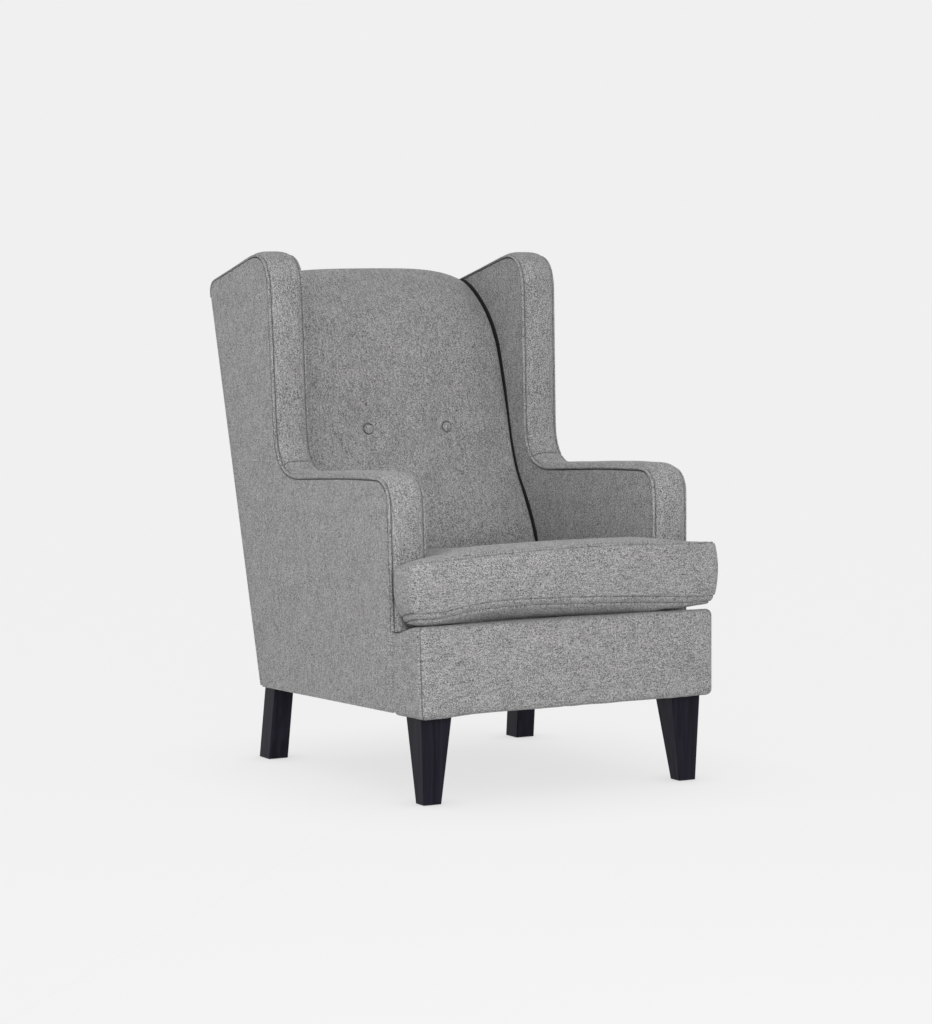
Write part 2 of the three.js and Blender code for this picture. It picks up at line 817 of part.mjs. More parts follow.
// The cushion: a crowned top and a flatter crowned underside, joined by a boxing strip that
// swells between its two seams
function seatCushion() {
  const rows = cushionRows();
  const bottomSeam = deckTop + clearance + cushionBottomCrown;
  const topSeam = bottomSeam + cushionBoxing;
  const earMiddle = (cushionFront + earRear) / 2;
  const surface = (seam, crown, run, fall) =>
    rows.map(([rowY, width]) =>
      cushionColumnShares.map((u) => {
        const x = u * width;
        const inward = Math.min(1, cushionEdgeDistance(rows, x, rowY) / run);
        const ahead = THREE.MathUtils.clamp((earMiddle - rowY) / (earMiddle - cushionFront), 0, 1);
        const bow = cushionBow * ahead * (1 - (x / cushionEar) ** 2);
        const behind = (rowY - cushionFront) / (cushionRear - cushionFront);
        const rise = crown * (1 - (1 - inward) ** 2) - fall * behind;
        return new THREE.Vector3(x, rowY - bow, seam + rise);
      }),
    );
  const boxing = (top, bottom) =>
    boxingShares.map(([down, swell]) =>
      top.map((p, i) => {
        const before = top[(i + top.length - 1) % top.length];
        const after = top[(i + 1) % top.length];
        const out = new THREE.Vector3(after.y - before.y, before.x - after.x, 0).normalize();
        const flat = p.y >= cushionSide ? 0 : boxingBulge * swell;
        return p.clone().lerp(bottom[i], down).addScaledVector(out, flat);
      }),
    );
  return gridSolid(
    surface(topSeam, cushionTopCrown, cushionEdgeRun, cushionFall),
    surface(bottomSeam, -cushionBottomCrown, cushionBottomRun, 0),
    boxing,
  );
}

// The zip in the middle of the back boxing, its tape sewn flat on the cushion's back face
const zipMiddle = deckTop + clearance + cushionBottomCrown + (cushionBoxing - cushionFall) / 2;
const zipReach = cushionMain - rearCushionCorner - zipEndGap;
const zipBack = cushionRear + clearance + zipThickness;

function zipTape() {
  const level = [zipMiddle - zipHeight / 2, zipMiddle + zipHeight / 2];
  return box([-zipReach, zipReach], [cushionRear + clearance, zipBack], level);
}

// The slider and its pull tab, at the closed end of the zip
function zipSlider() {
  const start = zipReach - sliderEndGap - sliderLength;
  const back = zipBack + clearance + sliderThickness;
  const level = [zipMiddle - sliderHeight / 2, zipMiddle + sliderHeight / 2];
  const runner = box([start, start + sliderLength], [zipBack + clearance, back], level);
  const middle = start + sliderLength / 2;
  const across = [middle - pullHeight / 2, middle + pullHeight / 2];
  const pull = box(across, [back - pullThickness / 2, back + pullThickness / 2], [zipMiddle - pullLength, zipMiddle]);
  return join(runner, pull);
}

// A leg between its top, which lies against the underside of the body, and its foot. Both
// are given as limits along X and Y, and the upright edges carry a small arris.
const placed = new THREE.Matrix4().makeRotationX(-bodyPitch).setPosition(0, 0, frontClearance);

function legRing([x0, x1], [y0, y1], place) {
  const a = legArris;
  const corners = [
    [x0 + a, y0], [x1 - a, y0], [x1, y0 + a], [x1, y1 - a],
    [x1 - a, y1], [x0 + a, y1], [x0, y1 - a], [x0, y0 + a],
  ];
  return corners.map(([x, y]) => place(new THREE.Vector3(x, y, 0)));
}

function leg(top, foot, bolt) {
  const upper = legRing(...top, (p) => p.applyMatrix4(placed));
  const lower = legRing(...foot, (p) => p.setZ(glideProud));
  const boltBore = rod(bolt, boltDiameter + 2 * boltClearance, [-boltInLeg - boltClearance, boltInLeg]);
  const glideBore = rod(middleOf(foot), glideShankDiameter + 2 * clearance, [0, glideShank + glideProud + clearance]);
  return cut(loft([lower, upper]), boltBore.applyMatrix4(placed), glideBore);
}

function middleOf([[x0, x1], [y0, y1]]) {
  return [(x0 + x1) / 2, (y0 + y1) / 2];
}

const frontFootOut = frontLegOut - frontFootDrawOut;
const frontFootFront = frontLegFront + frontFootDrawFront;
const frontFoot = [
  [frontFootOut - frontFootWidth, frontFootOut],
  [frontFootFront, frontFootFront + frontFootDepth],
];
const rearFoot = [
  rearLegTop[0].map((x) => x + rearLegSplay),
  rearLegTop[1].map((y) => y + rearLegRake),
];

// A bolt that stands in the corner block and the leg, along the body's own Z axis
function hangerBolt(bolt) {
  return rod(bolt, boltDiameter, [-boltInLeg, boltInBlock]);
}

// A nail-in glide under a foot
function glide(foot) {
  const [x, y] = middleOf(foot);
  const profile = [
    [0, 0],
    [glideDiameter / 2, 0],
    [glideDiameter / 2, glideProud - clearance],
    [glideShankDiameter / 2, glideProud - clearance],
    [glideShankDiameter / 2, glideProud + glideShank],
    [0, glideProud + glideShank],
  ];
  return turned(profile, 16).translate(x, y, 0);
}

add("seat_front_rail", taper(frontRail()), hardwood);
add("seat_back_rail", taper(backRail()), hardwood);
addPair("seat_side_rail", taper(sideRail()), hardwood);
addPair("front_corner_block", frontBlock(), hardwood);
addPair("rear_corner_block", rearBlock(), hardwood);
addPair("arm_front_post", taper(frontPost()), hardwood);
addPair("arm_rail", taper(armRail()), hardwood);
addPair("back_post", taper(backPost()), hardwood);
add("crest_rail", taper(crestRail()), hardwood);
add("lower_back_rail", taper(lowerBackRail()), hardwood);
addPair("wing_board", taper(wingBoard()), hardwood);
addPair("outer_side_panel", taper(outerPanel()), fabric);
addPair("inner_side_panel", taper(innerPanel()), fabric);
addPair("arm_band", taper(armBand()), fabric);
addPair("wing_band", taper(wingBand()), fabric);
add("outside_back_panel", taper(outsideBack()), fabric);
add("front_apron", taper(apron()), fabric);
add("seat_deck", taper(seatDeck()), fabric);
add("dust_cover", dustCover(), webbing);
add("back_pad", taper(backPad()), fabric);
for (const [name, side] of [["left", 1], ["right", -1]]) {
  add("button_" + name, taper(button(side)), fabric);
}
for (let i = 0; i < springCount; i++) {
  const room = 2 * (innerFace - springSwing);
  add("seat_spring_" + (i + 1), taper(seatSpring(room * ((i + 0.5) / springCount - 0.5))), steel);
}
for (let i = 0; i < strapCount; i++) {
  const room = 2 * innerFace;
  add("back_strap_" + (i + 1), taper(backStrap(room * ((i + 0.5) / strapCount - 0.5))), webbing);
}
add("seat_cushion", taper(seatCushion()), fabric);
add("cushion_zip", taper(zipTape()), webbing);
add("zip_slider", taper(zipSlider()), steel);
addPair("front_leg", leg(frontLegTop, frontFoot, frontBolt), darkWood, chair);
addPair("rear_leg", leg(rearLegTop, rearFoot, rearBolt), darkWood, chair);
addPair("front_hanger_bolt", hangerBolt(frontBolt), steel);
addPair("rear_hanger_bolt", hangerBolt(rearBolt), steel);
addPair("front_glide", glide(frontFoot), nylon, chair);
addPair("rear_glide", glide(rearFoot), nylon, chair);

// The part's origin is on the floor, under the middle of its box
const limits = new THREE.Box3().setFromObject(chair, true);
chair.position.y = -(limits.min.y + limits.max.y) / 2;

export default chair;
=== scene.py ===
# A wing chair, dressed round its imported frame: melange fabric over every padded piece, stained
# legs, and the hardwood, springs and webbing that show when it is opened or turned over.
# Lengths are in metres, Z is up, the chair faces -Y, and left and right are the sitter's.
import math

import bmesh
import bpy
from mathutils import Matrix, Vector, noise
from mathutils.kdtree import KDTree


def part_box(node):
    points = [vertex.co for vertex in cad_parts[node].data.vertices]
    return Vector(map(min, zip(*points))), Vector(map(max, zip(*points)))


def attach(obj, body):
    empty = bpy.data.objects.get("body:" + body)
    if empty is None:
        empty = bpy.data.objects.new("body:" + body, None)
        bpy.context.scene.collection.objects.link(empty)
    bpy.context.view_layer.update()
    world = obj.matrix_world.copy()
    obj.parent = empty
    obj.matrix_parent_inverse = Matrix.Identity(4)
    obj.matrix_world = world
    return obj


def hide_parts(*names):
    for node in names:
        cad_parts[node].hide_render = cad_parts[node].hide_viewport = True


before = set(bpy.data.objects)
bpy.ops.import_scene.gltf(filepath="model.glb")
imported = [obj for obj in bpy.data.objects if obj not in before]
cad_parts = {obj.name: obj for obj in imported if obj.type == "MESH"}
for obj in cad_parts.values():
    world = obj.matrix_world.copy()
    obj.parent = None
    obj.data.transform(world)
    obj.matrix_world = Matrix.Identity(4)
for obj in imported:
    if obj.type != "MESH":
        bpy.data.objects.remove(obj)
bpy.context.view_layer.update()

# Hardwood frame: sawn beech rails, posts and blocks, glued and left bare, because the
# padding hides them. Plywood boards stiffen the wings.
RAIL_WOOD = (0.52, 0.36, 0.21, 1)
RAIL_GRAIN = (0.40, 0.26, 0.14, 1)
RAIL_ROUGHNESS = 0.75
RAIL_GLOSS = 0.4
RAIL_PORES = 0.0006
GRAIN_ACROSS = 130.0
GRAIN_ALONG = 5.0


class Wire:
    """A value on its way through a material. Python's operators add its Math nodes."""

    def __init__(self, tree, socket=None):
        self.tree = tree
        self.socket = socket

    def node(self, kind, settings, inputs, output=0):
        """Any other node: its settings are made first, then its sockets are set or linked."""
        made = self.tree.nodes.new("ShaderNode" + kind)
        for name, value in settings.items():
            if name == "stops":
                for element, (place, color) in zip(made.color_ramp.elements, value):
                    element.position = place
                    element.color = color
            else:
                setattr(made, name, value)
        for name, value in inputs.items():
            if isinstance(value, Wire):
                self.tree.links.new(value.socket, made.inputs[name])
            else:
                made.inputs[name].default_value = value
        return Wire(self.tree, made.outputs[output])

    def math(self, operation, *others):
        return self.node("Math", {"operation": operation}, dict(enumerate((self, *others))))

    def blend(self, low, high):
        """The colour between low and high, with this value as the share of high."""
        return self.node("Mix", {"data_type": "RGBA"}, {0: self, 6: low, 7: high}, 2)

    def noise(self, scale, detail, distortion=0.0, dimensions="3D"):
        """A cloudy pattern over this place."""
        inputs = {"Vector": self, "Scale": scale, "Detail": detail, "Distortion": distortion}
        return self.node("TexNoise", {"noise_dimensions": dimensions}, inputs)

    def relief(self, strength, distance):
        """The bump that this height makes."""
        return self.node("Bump", {}, {"Strength": strength, "Distance": distance, "Height": self})

    def limited(self):
        """This value, held between 0 and 1."""
        return self.math("MINIMUM", 1.0).math("MAXIMUM", 0.0)

    def __add__(self, other):
        return self.math("ADD", other)

    def __mul__(self, other):
        return self.math("MULTIPLY", other)

    def __sub__(self, other):
        return self.math("SUBTRACT", other)

    def __rsub__(self, other):
        return self.node("Math", {"operation": "SUBTRACT"}, {0: other, 1: self})

    def __truediv__(self, other):
        return self.math("DIVIDE", other)

    __radd__ = __add__
    __rmul__ = __mul__


def socket_of(shader, name):
    """A socket of the shader by its name without spaces."""
    return next(s for s in shader.inputs if s.name.replace(" ", "") == name)


def new_finish(name, **constants):
    """A material, its Principled shader with constant sockets set, and a wire to begin from."""
    material = bpy.data.materials.new(name)
    material.use_nodes = True
    shader = material.node_tree.nodes["Principled BSDF"]
    for socket, value in constants.items():
        socket_of(shader, socket).default_value = value
    return material, shader, Wire(material.node_tree)


def on_object(name, **constants):
    """The same, with a wire that carries the place on the object."""
    material, shader, start = new_finish(name, **constants)
    return material, shader, start.node("TexCoord", {}, {}, 3)


def feed(shader, **wires):
    for name, wire in wires.items():
        wire.tree.links.new(wire.socket, socket_of(shader, name))


def grained(name, base, grain, along, roughness, gloss, depth):
    """Wood whose grain runs along one axis of the object."""
    material, shader, place = on_object(name, SpecularIORLevel=gloss)
    squeeze = [GRAIN_ACROSS] * 3
    squeeze[along] = GRAIN_ALONG
    long = place.node("Mapping", {}, {"Vector": place, "Scale": squeeze})
    fibre = long.noise(1.0, 5.0, 0.4)
    pores = long.noise(6.0, 2.0)
    tone = fibre * 0.8 + place.noise(9.0, 1.0) * 0.2
    color = ((tone - 0.38) * 4.0).limited().blend(grain, base)
    bump = (fibre + pores * 0.5).relief(0.35, depth)
    feed(shader, BaseColor=color, Roughness=fibre * 0.2 + (roughness - 0.1), Normal=bump)
    return material


def give(material, *starts):
    """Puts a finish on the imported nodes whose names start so."""
    for node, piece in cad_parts.items():
        if node.startswith(starts):
            piece.data.materials.clear()
            piece.data.materials.append(material)


for along, names in enumerate((
    ("seat_front_rail", "seat_back_rail", "crest_rail", "lower_back_rail"),
    ("seat_side_rail", "arm_rail"),
    ("arm_front_post", "back_post", "front_corner_block", "rear_corner_block", "wing_board"),
)):
    name = "bare_hardwood_" + "xyz"[along]
    give(grained(name, RAIL_WOOD, RAIL_GRAIN, along, RAIL_ROUGHNESS, RAIL_GLOSS, RAIL_PORES), *names)

# Springs, bolts and slider: drawn steel. The zigzag springs run from the front rail to the
# back rail, and a hanger bolt stands in each leg and its corner block.
STEEL = (0.42, 0.42, 0.43, 1)
STEEL_WORN = (0.24, 0.23, 0.23, 1)


def drawn_steel():
    material, shader, place = on_object("drawn_steel", Metallic=1.0)
    worn = place.noise(160.0, 3.0)
    feed(shader, BaseColor=worn.blend(STEEL_WORN, STEEL), Roughness=worn * 0.3 + 0.2)
    return material


steel = drawn_steel()
give(steel, "seat_spring", "front_hanger", "rear_hanger", "zip_slider")

# Back straps: black elastic webbing, woven in ribs and tacked upright between the crest
# rail and the lower back rail.
WEBBING = (0.018, 0.018, 0.02, 1)
# The colour on the ribs' crests, painted lighter than the grooves: painted highlight and shade.
WEBBING_LIT_RIB = (0.055, 0.055, 0.06, 1)
WEBBING_PITCH = 0.004


def ribbed_webbing():
    material, shader, place = on_object("ribbed_webbing", Roughness=0.85)
    height = place.node("SeparateXYZ", {}, {0: place}, 2)
    ribs = (height / WEBBING_PITCH).math("FRACT") * 2.0 - 1.0
    rib = 1.0 - ribs * ribs
    threads = place.noise(900.0, 2.0)
    bump = (rib + threads * 0.4).relief(0.6, 0.0008)
    # The colour is half random thread tone and half painted shade: lighter on the ribs' crests, darker in
    # the grooves between them.
    feed(shader, BaseColor=(rib * 0.5 + threads * 0.5).blend(WEBBING, WEBBING_LIT_RIB), Normal=bump)
    return material


webbing = ribbed_webbing()
give(webbing, "back_strap")

# Legs: solid hardwood, tapered, with a small arris on each edge, stained near black and
# finished satin. A black nail-in glide stands under each foot.
LEG_STAIN = (0.0040, 0.0032, 0.0068, 1)
LEG_GRAIN = (0.0105, 0.0088, 0.0165, 1)
GLIDE = (0.012, 0.012, 0.013, 1)
LEG_ROUGHNESS = 0.42
LEG_GLOSS = 0.10
LEG_PORES = 0.0003

stained = grained("stained_leg", LEG_STAIN, LEG_GRAIN, 2, LEG_ROUGHNESS, LEG_GLOSS, LEG_PORES)
give(stained, "front_leg", "rear_leg")


def moulded():
    material, shader, place = on_object("moulded_glide")
    speck = place.noise(1400.0, 1.0)
    bump = speck.relief(0.2, 0.0002)
    feed(shader, BaseColor=speck.blend(GLIDE, WEBBING), Roughness=speck * 0.2 + 0.4, Normal=bump)
    return material


give(moulded(), "front_glide", "rear_glide")

# Side panels: fabric pulled over padding on each face of the arms and wings, and sewn to the
# bands along the side's outline. The outer ones run from the body's bottom to the wing's top,
# and the inner ones from the seat deck up.

# The fabric is a plain weave of light and dark grey yarns that change tone along their length.
# Its long slubs run upright, or across on the apron and the cushion's boxing.
YARN = 0.0010
YARN_DARK = (0.048, 0.047, 0.048, 1)
YARN_LIGHT = (0.392, 0.389, 0.389, 1)
SPECK_SHARE = 0.84
CONTRAST = 1.75
CLOUD = 18.0
CLOUD_SHARE = 0.13
WEAVE_MAP = "weave"


def melange():
    material, shader, start = new_finish(
        "melange_fabric", SpecularIORLevel=0.2, SheenWeight=0.12, SheenRoughness=0.5
    )
    place = start.node("UVMap", {"uv_map": WEAVE_MAP}, {})
    u, v = (start.node("SeparateXYZ", {}, {0: place}, axis) / YARN for axis in (0, 1))
    column, row = u.math("FLOOR"), v.math("FLOOR")
    over = (column + row).math("PINGPONG", 1.0)

    def spun(side, along, slub, lift):
        """The tone of a yarn, which changes slowly along it and at once beside it."""
        spot = start.node("CombineXYZ", {}, {0: side * 3.71, 1: along * slub})
        return (spot.noise(1.0, 1.0, dimensions="2D") - 0.5) * lift + 0.5

    crossing = start.node("CombineXYZ", {}, {0: column, 1: row})
    speck = start.node("TexWhiteNoise", {"noise_dimensions": "2D"}, {"Vector": crossing})
    slubs = spun(column, v, 0.045, 4.2) * 0.75 + spun(row + 57.0, u, 0.12, 3.0) * 0.25
    cloud = place.noise(CLOUD, 2.0, dimensions="2D")
    mixed = speck * SPECK_SHARE + slubs * (1.0 - SPECK_SHARE) + (cloud - 0.5) * CLOUD_SHARE

    def hump(value):
        middle = value.math("FRACT") * 2.0 - 1.0
        return 1.0 - middle * middle

    across, upright = hump(u), hump(v)
    height = across * (upright * 0.45 + 0.55) * (1.0 - over) + upright * (across * 0.45 + 0.55) * over
    # The tone is the yarns' own random tone, darkened with painted shade where the weave lies low between
    # the yarns.
    tone = ((mixed - 0.5) * CONTRAST + 0.5).limited() * (height * 0.3 + 0.7)
    bump = (height + mixed * 0.5).relief(0.4, 0.0004)
    feed(shader, BaseColor=tone.blend(YARN_DARK, YARN_LIGHT), Roughness=0.95 - mixed * 0.1, Normal=bump)
    return material


fabric = melange()

# The padded body leans back a little on its legs, and draws in towards its bottom and its back.
# Its own measures run from the line of the arm fronts and from its underside.
PITCH = math.radians(1.9)
RAKE = math.radians(12.67)
WING_LEAN = math.radians(1.2)
HALF = 0.357
SIDE = 0.081
INNER = HALF - SIDE
SIDE_DEPTH = 0.617
WING_HEIGHT = 0.935
UNDERSIDE = 0.1783
BOTTOM_TUCK = 0.0145
REAR_TUCK = 0.008
PANEL_MARGIN = 0.0033
ARM_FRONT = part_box("outer_side_panel_left")[0].y - PANEL_MARGIN * math.cos(PITCH)


def on_chair(place):
    """A point of the upright body, drawn in and leaned back to where it lies on the chair."""
    x, y, z = place
    narrow = 1 - (BOTTOM_TUCK * (1 - z / WING_HEIGHT) + REAR_TUCK * y / SIDE_DEPTH) / HALF
    level = UNDERSIDE - y * math.sin(PITCH) + z * math.cos(PITCH)
    return Vector((x * narrow, y * math.cos(PITCH) + z * math.sin(PITCH) + ARM_FRONT, level))


def raked(depth, z):
    """Y of the plane that lies a depth in front of the raked back, at height z."""
    return SIDE_DEPTH + z * math.tan(RAKE) - depth / math.cos(RAKE)


def face_out(bm):
    bmesh.ops.recalc_face_normals(bm, faces=bm.faces)


def lay_weave(bm, across=False):
    """Lays the fabric flat against each face's main direction, with its slubs upright or across."""
    layer = bm.loops.layers.uv.new(WEAVE_MAP)
    for face in bm.faces:
        main = max(range(3), key=lambda axis: abs(face.normal[axis]))
        first, second = ((1, 2), (0, 2), (0, 1))[main]
        for loop in face.loops:
            place = (loop.vert.co[first], loop.vert.co[second])
            loop[layer].uv = place[::-1] if across else place


def added(name, data):
    """A new object in the scene, at the origin."""
    thing = bpy.data.objects.new(name, data)
    bpy.context.scene.collection.objects.link(thing)
    return thing


def loose_piece(name, bm):
    """A mesh as an object, to be worked on further."""
    mesh = bpy.data.meshes.new(name)
    bm.to_mesh(mesh)
    bm.free()
    return added(name, mesh)


def new_piece(name, bm, material, sharp=40):
    """A finished mesh as an object, shaded smooth but for its sharper edges."""
    piece = loose_piece(name, bm)
    piece.data.shade_smooth()
    piece.data.set_sharp_from_angle(angle=math.radians(sharp))
    piece.data.materials.append(material)
    return piece


def fit(piece, body="chair", node=None):
    """Says what carries a piece, and hides the node that it stands for."""
    if node:
        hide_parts(node)
    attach(piece, body)
    return piece


def dress(name, bm, node, across=False, sharp=40):
    """A fabric piece of the chair's body, in a node's place."""
    face_out(bm)
    if not bm.loops.layers.uv:
        lay_weave(bm, across)
    fit(new_piece(name, bm, fabric, sharp), node=node)


def unevenness(place, wave, height):
    """A gentle unevenness of hand-stuffed padding, as a distance along the surface's normal."""
    return height * noise.noise(place / wave)


def lean(bm, mirrored=False):
    """Moves an upright piece to where it lies on the leaned chair, or on its other side."""
    if mirrored:
        bmesh.ops.scale(bm, vec=(-1, 1, 1), verts=bm.verts)
        bmesh.ops.reverse_faces(bm, faces=bm.faces)
    for vert in bm.verts:
        vert.co = on_chair(vert.co)


# The side's outline goes up the arm's front, along the arm, up the wing and over it to the back.
ARM_HEIGHT = 0.453
WING_SETBACK = 0.507
WING_FALL = 0.066
WING_PEAK = 0.927
ARM_WAVE = (0.170, 0.0005, 0.085)
HOLLOW_DIP = 0.0100
CORNERS = {"arm": 0.052, "hollow": 0.105, "wing": 0.090, "rear": 0.030}
SEAM_FOOT = 0.158
PATH_STEP = 0.007

def wing_front(z):
    return WING_SETBACK + (z - ARM_HEIGHT) * math.tan(WING_LEAN)


def rounded(corners, steps=12):
    """A path through corners of (y, z, trim), with each corner eased over its trim."""
    path = []
    for last, (y, z, trim), after in zip(corners, corners[1:], corners[2:]):
        here = Vector((y, z))
        start = here + (Vector(last[:2]) - here).normalized() * trim
        end = here + (Vector(after[:2]) - here).normalized() * trim
        for k in range(steps + 1):
            t = k / steps
            path.append((1 - t) ** 2 * start + 2 * t * (1 - t) * here + t * t * end)
    return [Vector(corners[0][:2]), *path, Vector(corners[-1][:2])]


def evenly(path, step):
    """The same path as points a step apart."""
    even = [path[0]]
    left = step
    for start, end in zip(path, path[1:]):
        run = (end - start).length
        while left < run:
            even.append(start.lerp(end, left / run))
            left += step
        left -= run
    return even


def outward(path):
    """The direction out of the side's outline at each point of a path."""
    ways = []
    for i in range(len(path)):
        along = (path[min(i + 1, len(path) - 1)] - path[max(i - 1, 0)]).normalized()
        ways.append(Vector((-along.y, along.x)))
    return ways


wing_rear = WING_PEAK - WING_FALL
back_top = wing_rear - CORNERS["rear"]
side_corners = [
    (0, 0, 0),
    (0, ARM_HEIGHT, CORNERS["arm"]),
    (ARM_WAVE[0], ARM_HEIGHT + ARM_WAVE[1], ARM_WAVE[2]),
    (wing_front(ARM_HEIGHT), ARM_HEIGHT - HOLLOW_DIP, CORNERS["hollow"]),
    (wing_front(WING_PEAK), WING_PEAK, CORNERS["wing"]),
    (raked(0, wing_rear), wing_rear, CORNERS["rear"]),
    (SIDE_DEPTH, 0, 0),
]
side_path = rounded(side_corners)

# The panels' padding, the edges they roll over, and where each ends at its back and its foot.
OUTER_THICKNESS = 0.012
INNER_THICKNESS = 0.020
SEAM_GAP = 0.0021
SEAM_GAP_ABOVE = 0.0002
PANEL_EDGE = 0.0030
PANEL_GRID = 0.022
OUTER_SWELL = 0.003
INNER_SWELL = 0.0006
PANEL_DROP = 0.003
SWELL_REACH = 0.09
PANEL_WAVE = 0.11
PANEL_UNEVEN = 0.0009
OUTSIDE_BACK = 0.008
DECK_FOOT = 0.1225
POST_FRONT = 0.0533
CREST_TOP = 0.8113
BEHIND_CREST = 0.0115
BACK_SEAM_GAP = 0.0008
AXES = (Vector((1, 0, 0)), Vector((0, 1, 0)), Vector((0, 0, 1)))
SIDES = (("left", False), ("right", True))


def part_way(value, start=0, run=1):
    """How far a value has come along a run, from 0 to 1."""
    return max(0, min(1, (value - start) / run))


def nearest_of(spots):
    tree = KDTree(len(spots))
    for number, spot in enumerate(spots):
        tree.insert(spot, number)
    tree.balance()
    return tree


def slice_at(bm, co, no):
    """Cuts all of a mesh's faces along a plane."""
    everything = [*bm.verts, *bm.edges, *bm.faces]
    bmesh.ops.bisect_plane(bm, geom=everything, plane_co=co, plane_no=no, dist=1e-5)


def slice_evenly(bm, axis, low, high, step):
    """Cuts a mesh across one axis into even lengths of about a step."""
    count = max(1, round((high - low) / step))
    for i in range(1, count):
        slice_at(bm, AXES[axis] * (low + (high - low) * i / count), AXES[axis])


def extruded(bm, edges):
    """Extrudes an open edge, and gives the new points and the new open edge."""
    grown = bmesh.ops.extrude_edge_only(bm, edges=edges)["geom"]
    verts = [g for g in grown if isinstance(g, bmesh.types.BMVert)]
    return verts, [g for g in grown if isinstance(g, bmesh.types.BMEdge) and g.is_boundary]


def padded_plate(outline, thickness, edge, swell, grid, uneven=PANEL_UNEVEN):
    """A padded plate on the XY plane: rolled over its edge, swollen, and backed by a flat face."""
    plate = bmesh.new()
    face = plate.faces.new([plate.verts.new((u, v, 0)) for u, v in outline])
    rolled = 0.0
    depth = 0.0
    for share in (0.06, 0.2, 0.42, 0.7, 1.0):
        low = math.sqrt(1 - (1 - share) ** 2) * edge
        bmesh.ops.inset_region(plate, faces=[face], thickness=share * edge - rolled, use_even_offset=True)
        bmesh.ops.translate(plate, vec=(0, 0, low - depth), verts=face.verts)
        rolled, depth = share * edge, low
    for axis in (0, 1):
        places = [p[axis] for p in outline]
        slice_evenly(plate, axis, min(places), max(places), grid)
    rim = nearest_of([(*p, 0) for p in evenly([*outline, outline[0]], 0.004)])
    for vert in plate.verts:
        flat = Vector((vert.co.x, vert.co.y, 0))
        full = 1 - (1 - min(1, rim.find(flat)[2] / SWELL_REACH)) ** 2
        vert.co.z += swell * full + unevenness(flat, PANEL_WAVE, uneven) * full - edge
    skirt, hem = extruded(plate, [e for e in plate.edges if e.is_boundary])
    for vert in skirt:
        vert.co.z = -thickness
    bmesh.ops.contextual_create(plate, geom=hem)
    return plate


def panel_outline(rear, bottom):
    """The side outline drawn in to its seam, and cut off at its rear line and its bottom."""
    ways = outward(side_path)
    margins = [SEAM_GAP + SEAM_GAP_ABOVE * max(0, way.y) for way in ways]
    path = [p - way * margin for p, way, margin in zip(side_path, ways, margins)]
    fine = evenly(path[1:-1], 0.002)
    kept = [p for p in fine if p.x < rear(p.y)]
    outline = [Vector((SEAM_GAP, bottom)), *evenly(kept, 0.006), kept[-1]]
    top = kept[-1].y
    levels = [bottom + 0.012 * k for k in range(1000) if bottom + 0.012 * k < top - 0.004]
    outline += [Vector((rear(z), z)) for z in levels[::-1]]
    return outline


def outer_rear(z):
    """The outer panel ends at the outside back, and above it at the wing's rear seam."""
    return raked(BACK_SEAM_GAP + OUTSIDE_BACK * (z < back_top + 0.002), z)


def inner_rear(z):
    """The inner panel ends at the back post, and above the crest rail it goes on behind it."""
    return raked(BEHIND_CREST if z > CREST_TOP + 0.001 else POST_FRONT, z)


seam_line = evenly(side_path, 0.0005)
seam_tree = nearest_of([(*p, 0) for p in seam_line])


def side_panel(outer):
    """One panel, with the hem of its fabric drawn on to the seam line all round."""
    if outer:
        outline = panel_outline(outer_rear, -PANEL_DROP)
        plate = padded_plate(outline, OUTER_THICKNESS, PANEL_EDGE, OUTER_SWELL, PANEL_GRID)
    else:
        outline = panel_outline(inner_rear, DECK_FOOT)
        plate = padded_plate(outline, INNER_THICKNESS, PANEL_EDGE, INNER_SWELL, PANEL_GRID)
    hem = min(v.co.z for v in plate.verts) + 1e-6
    for vert in plate.verts:
        y, z, proud = vert.co
        if proud < hem:
            seam = seam_line[seam_tree.find((y, z, 0))[1]]
            if (seam - Vector((y, z))).length < 2 * SEAM_GAP:
                y, z = seam
        vert.co = (HALF + proud if outer else INNER - proud, y, z)
    return plate


for side, mirrored in SIDES:
    for kind in ("outer", "inner"):
        panel = side_panel(kind == "outer")
        lean(panel, mirrored)
        dress(f"{kind}_panel_{side}", panel, f"{kind}_side_panel_{side}")

# Bands: a padded strip over the edge of each arm and wing, lap-seamed to the panels in a raised
# bead with a stitched groove beside it. A cross seam joins the two strips in the hollow.
BAND_CROWN = 0.0160
CROWN_POWER = 4.2
TOP_THINNING = 0.27
REAR_THINNING = 0.72
BEAD = [(0.0108, 0.0002), (0.0052, 0.0001), (0.0030, 0.0002), (0.0014, 0.0007), (0.0000, 0.0018),
        (-0.0010, 0.0032), (-0.0008, 0.0048), (0.0006, 0.0063), (0.0022, 0.0070), (0.0036, 0.0068),
        (0.0044, 0.0052), (0.0048, 0.0030), (0.0058, 0.0030), (0.0062, 0.0060), (0.0072, 0.0080),
        (0.0086, 0.0094)]
BEAD_INSIDE = 0.0025
BAND_ACROSS = [0.0105, 0.013, 0.0165, 0.021, 0.027, 0.0335, 0.0405]
CROSS_SEAM_AT = (0.487, 0.470)
FRAME_PEAK = (0.935, 0.074)
FRAME_TRIMS = (0.052, 0.075, 0.090, 0.030)
CROSS_SEAM_ROLL = [(0.0009, 0.0060), (0.0012, 0.0036), (0.0021, 0.0018), (0.0036, 0.0006), (0.0060, 0.0)]
KEEL = -1.0
KEEL_GAP = 0.0002
KEEL_INSET = 0.0004
BAND_WAVE = 0.07
BAND_UNEVEN = 0.0010


def band_rise(across):
    return BAND_CROWN * (1 - abs(1 - 2 * across / SIDE) ** CROWN_POWER)


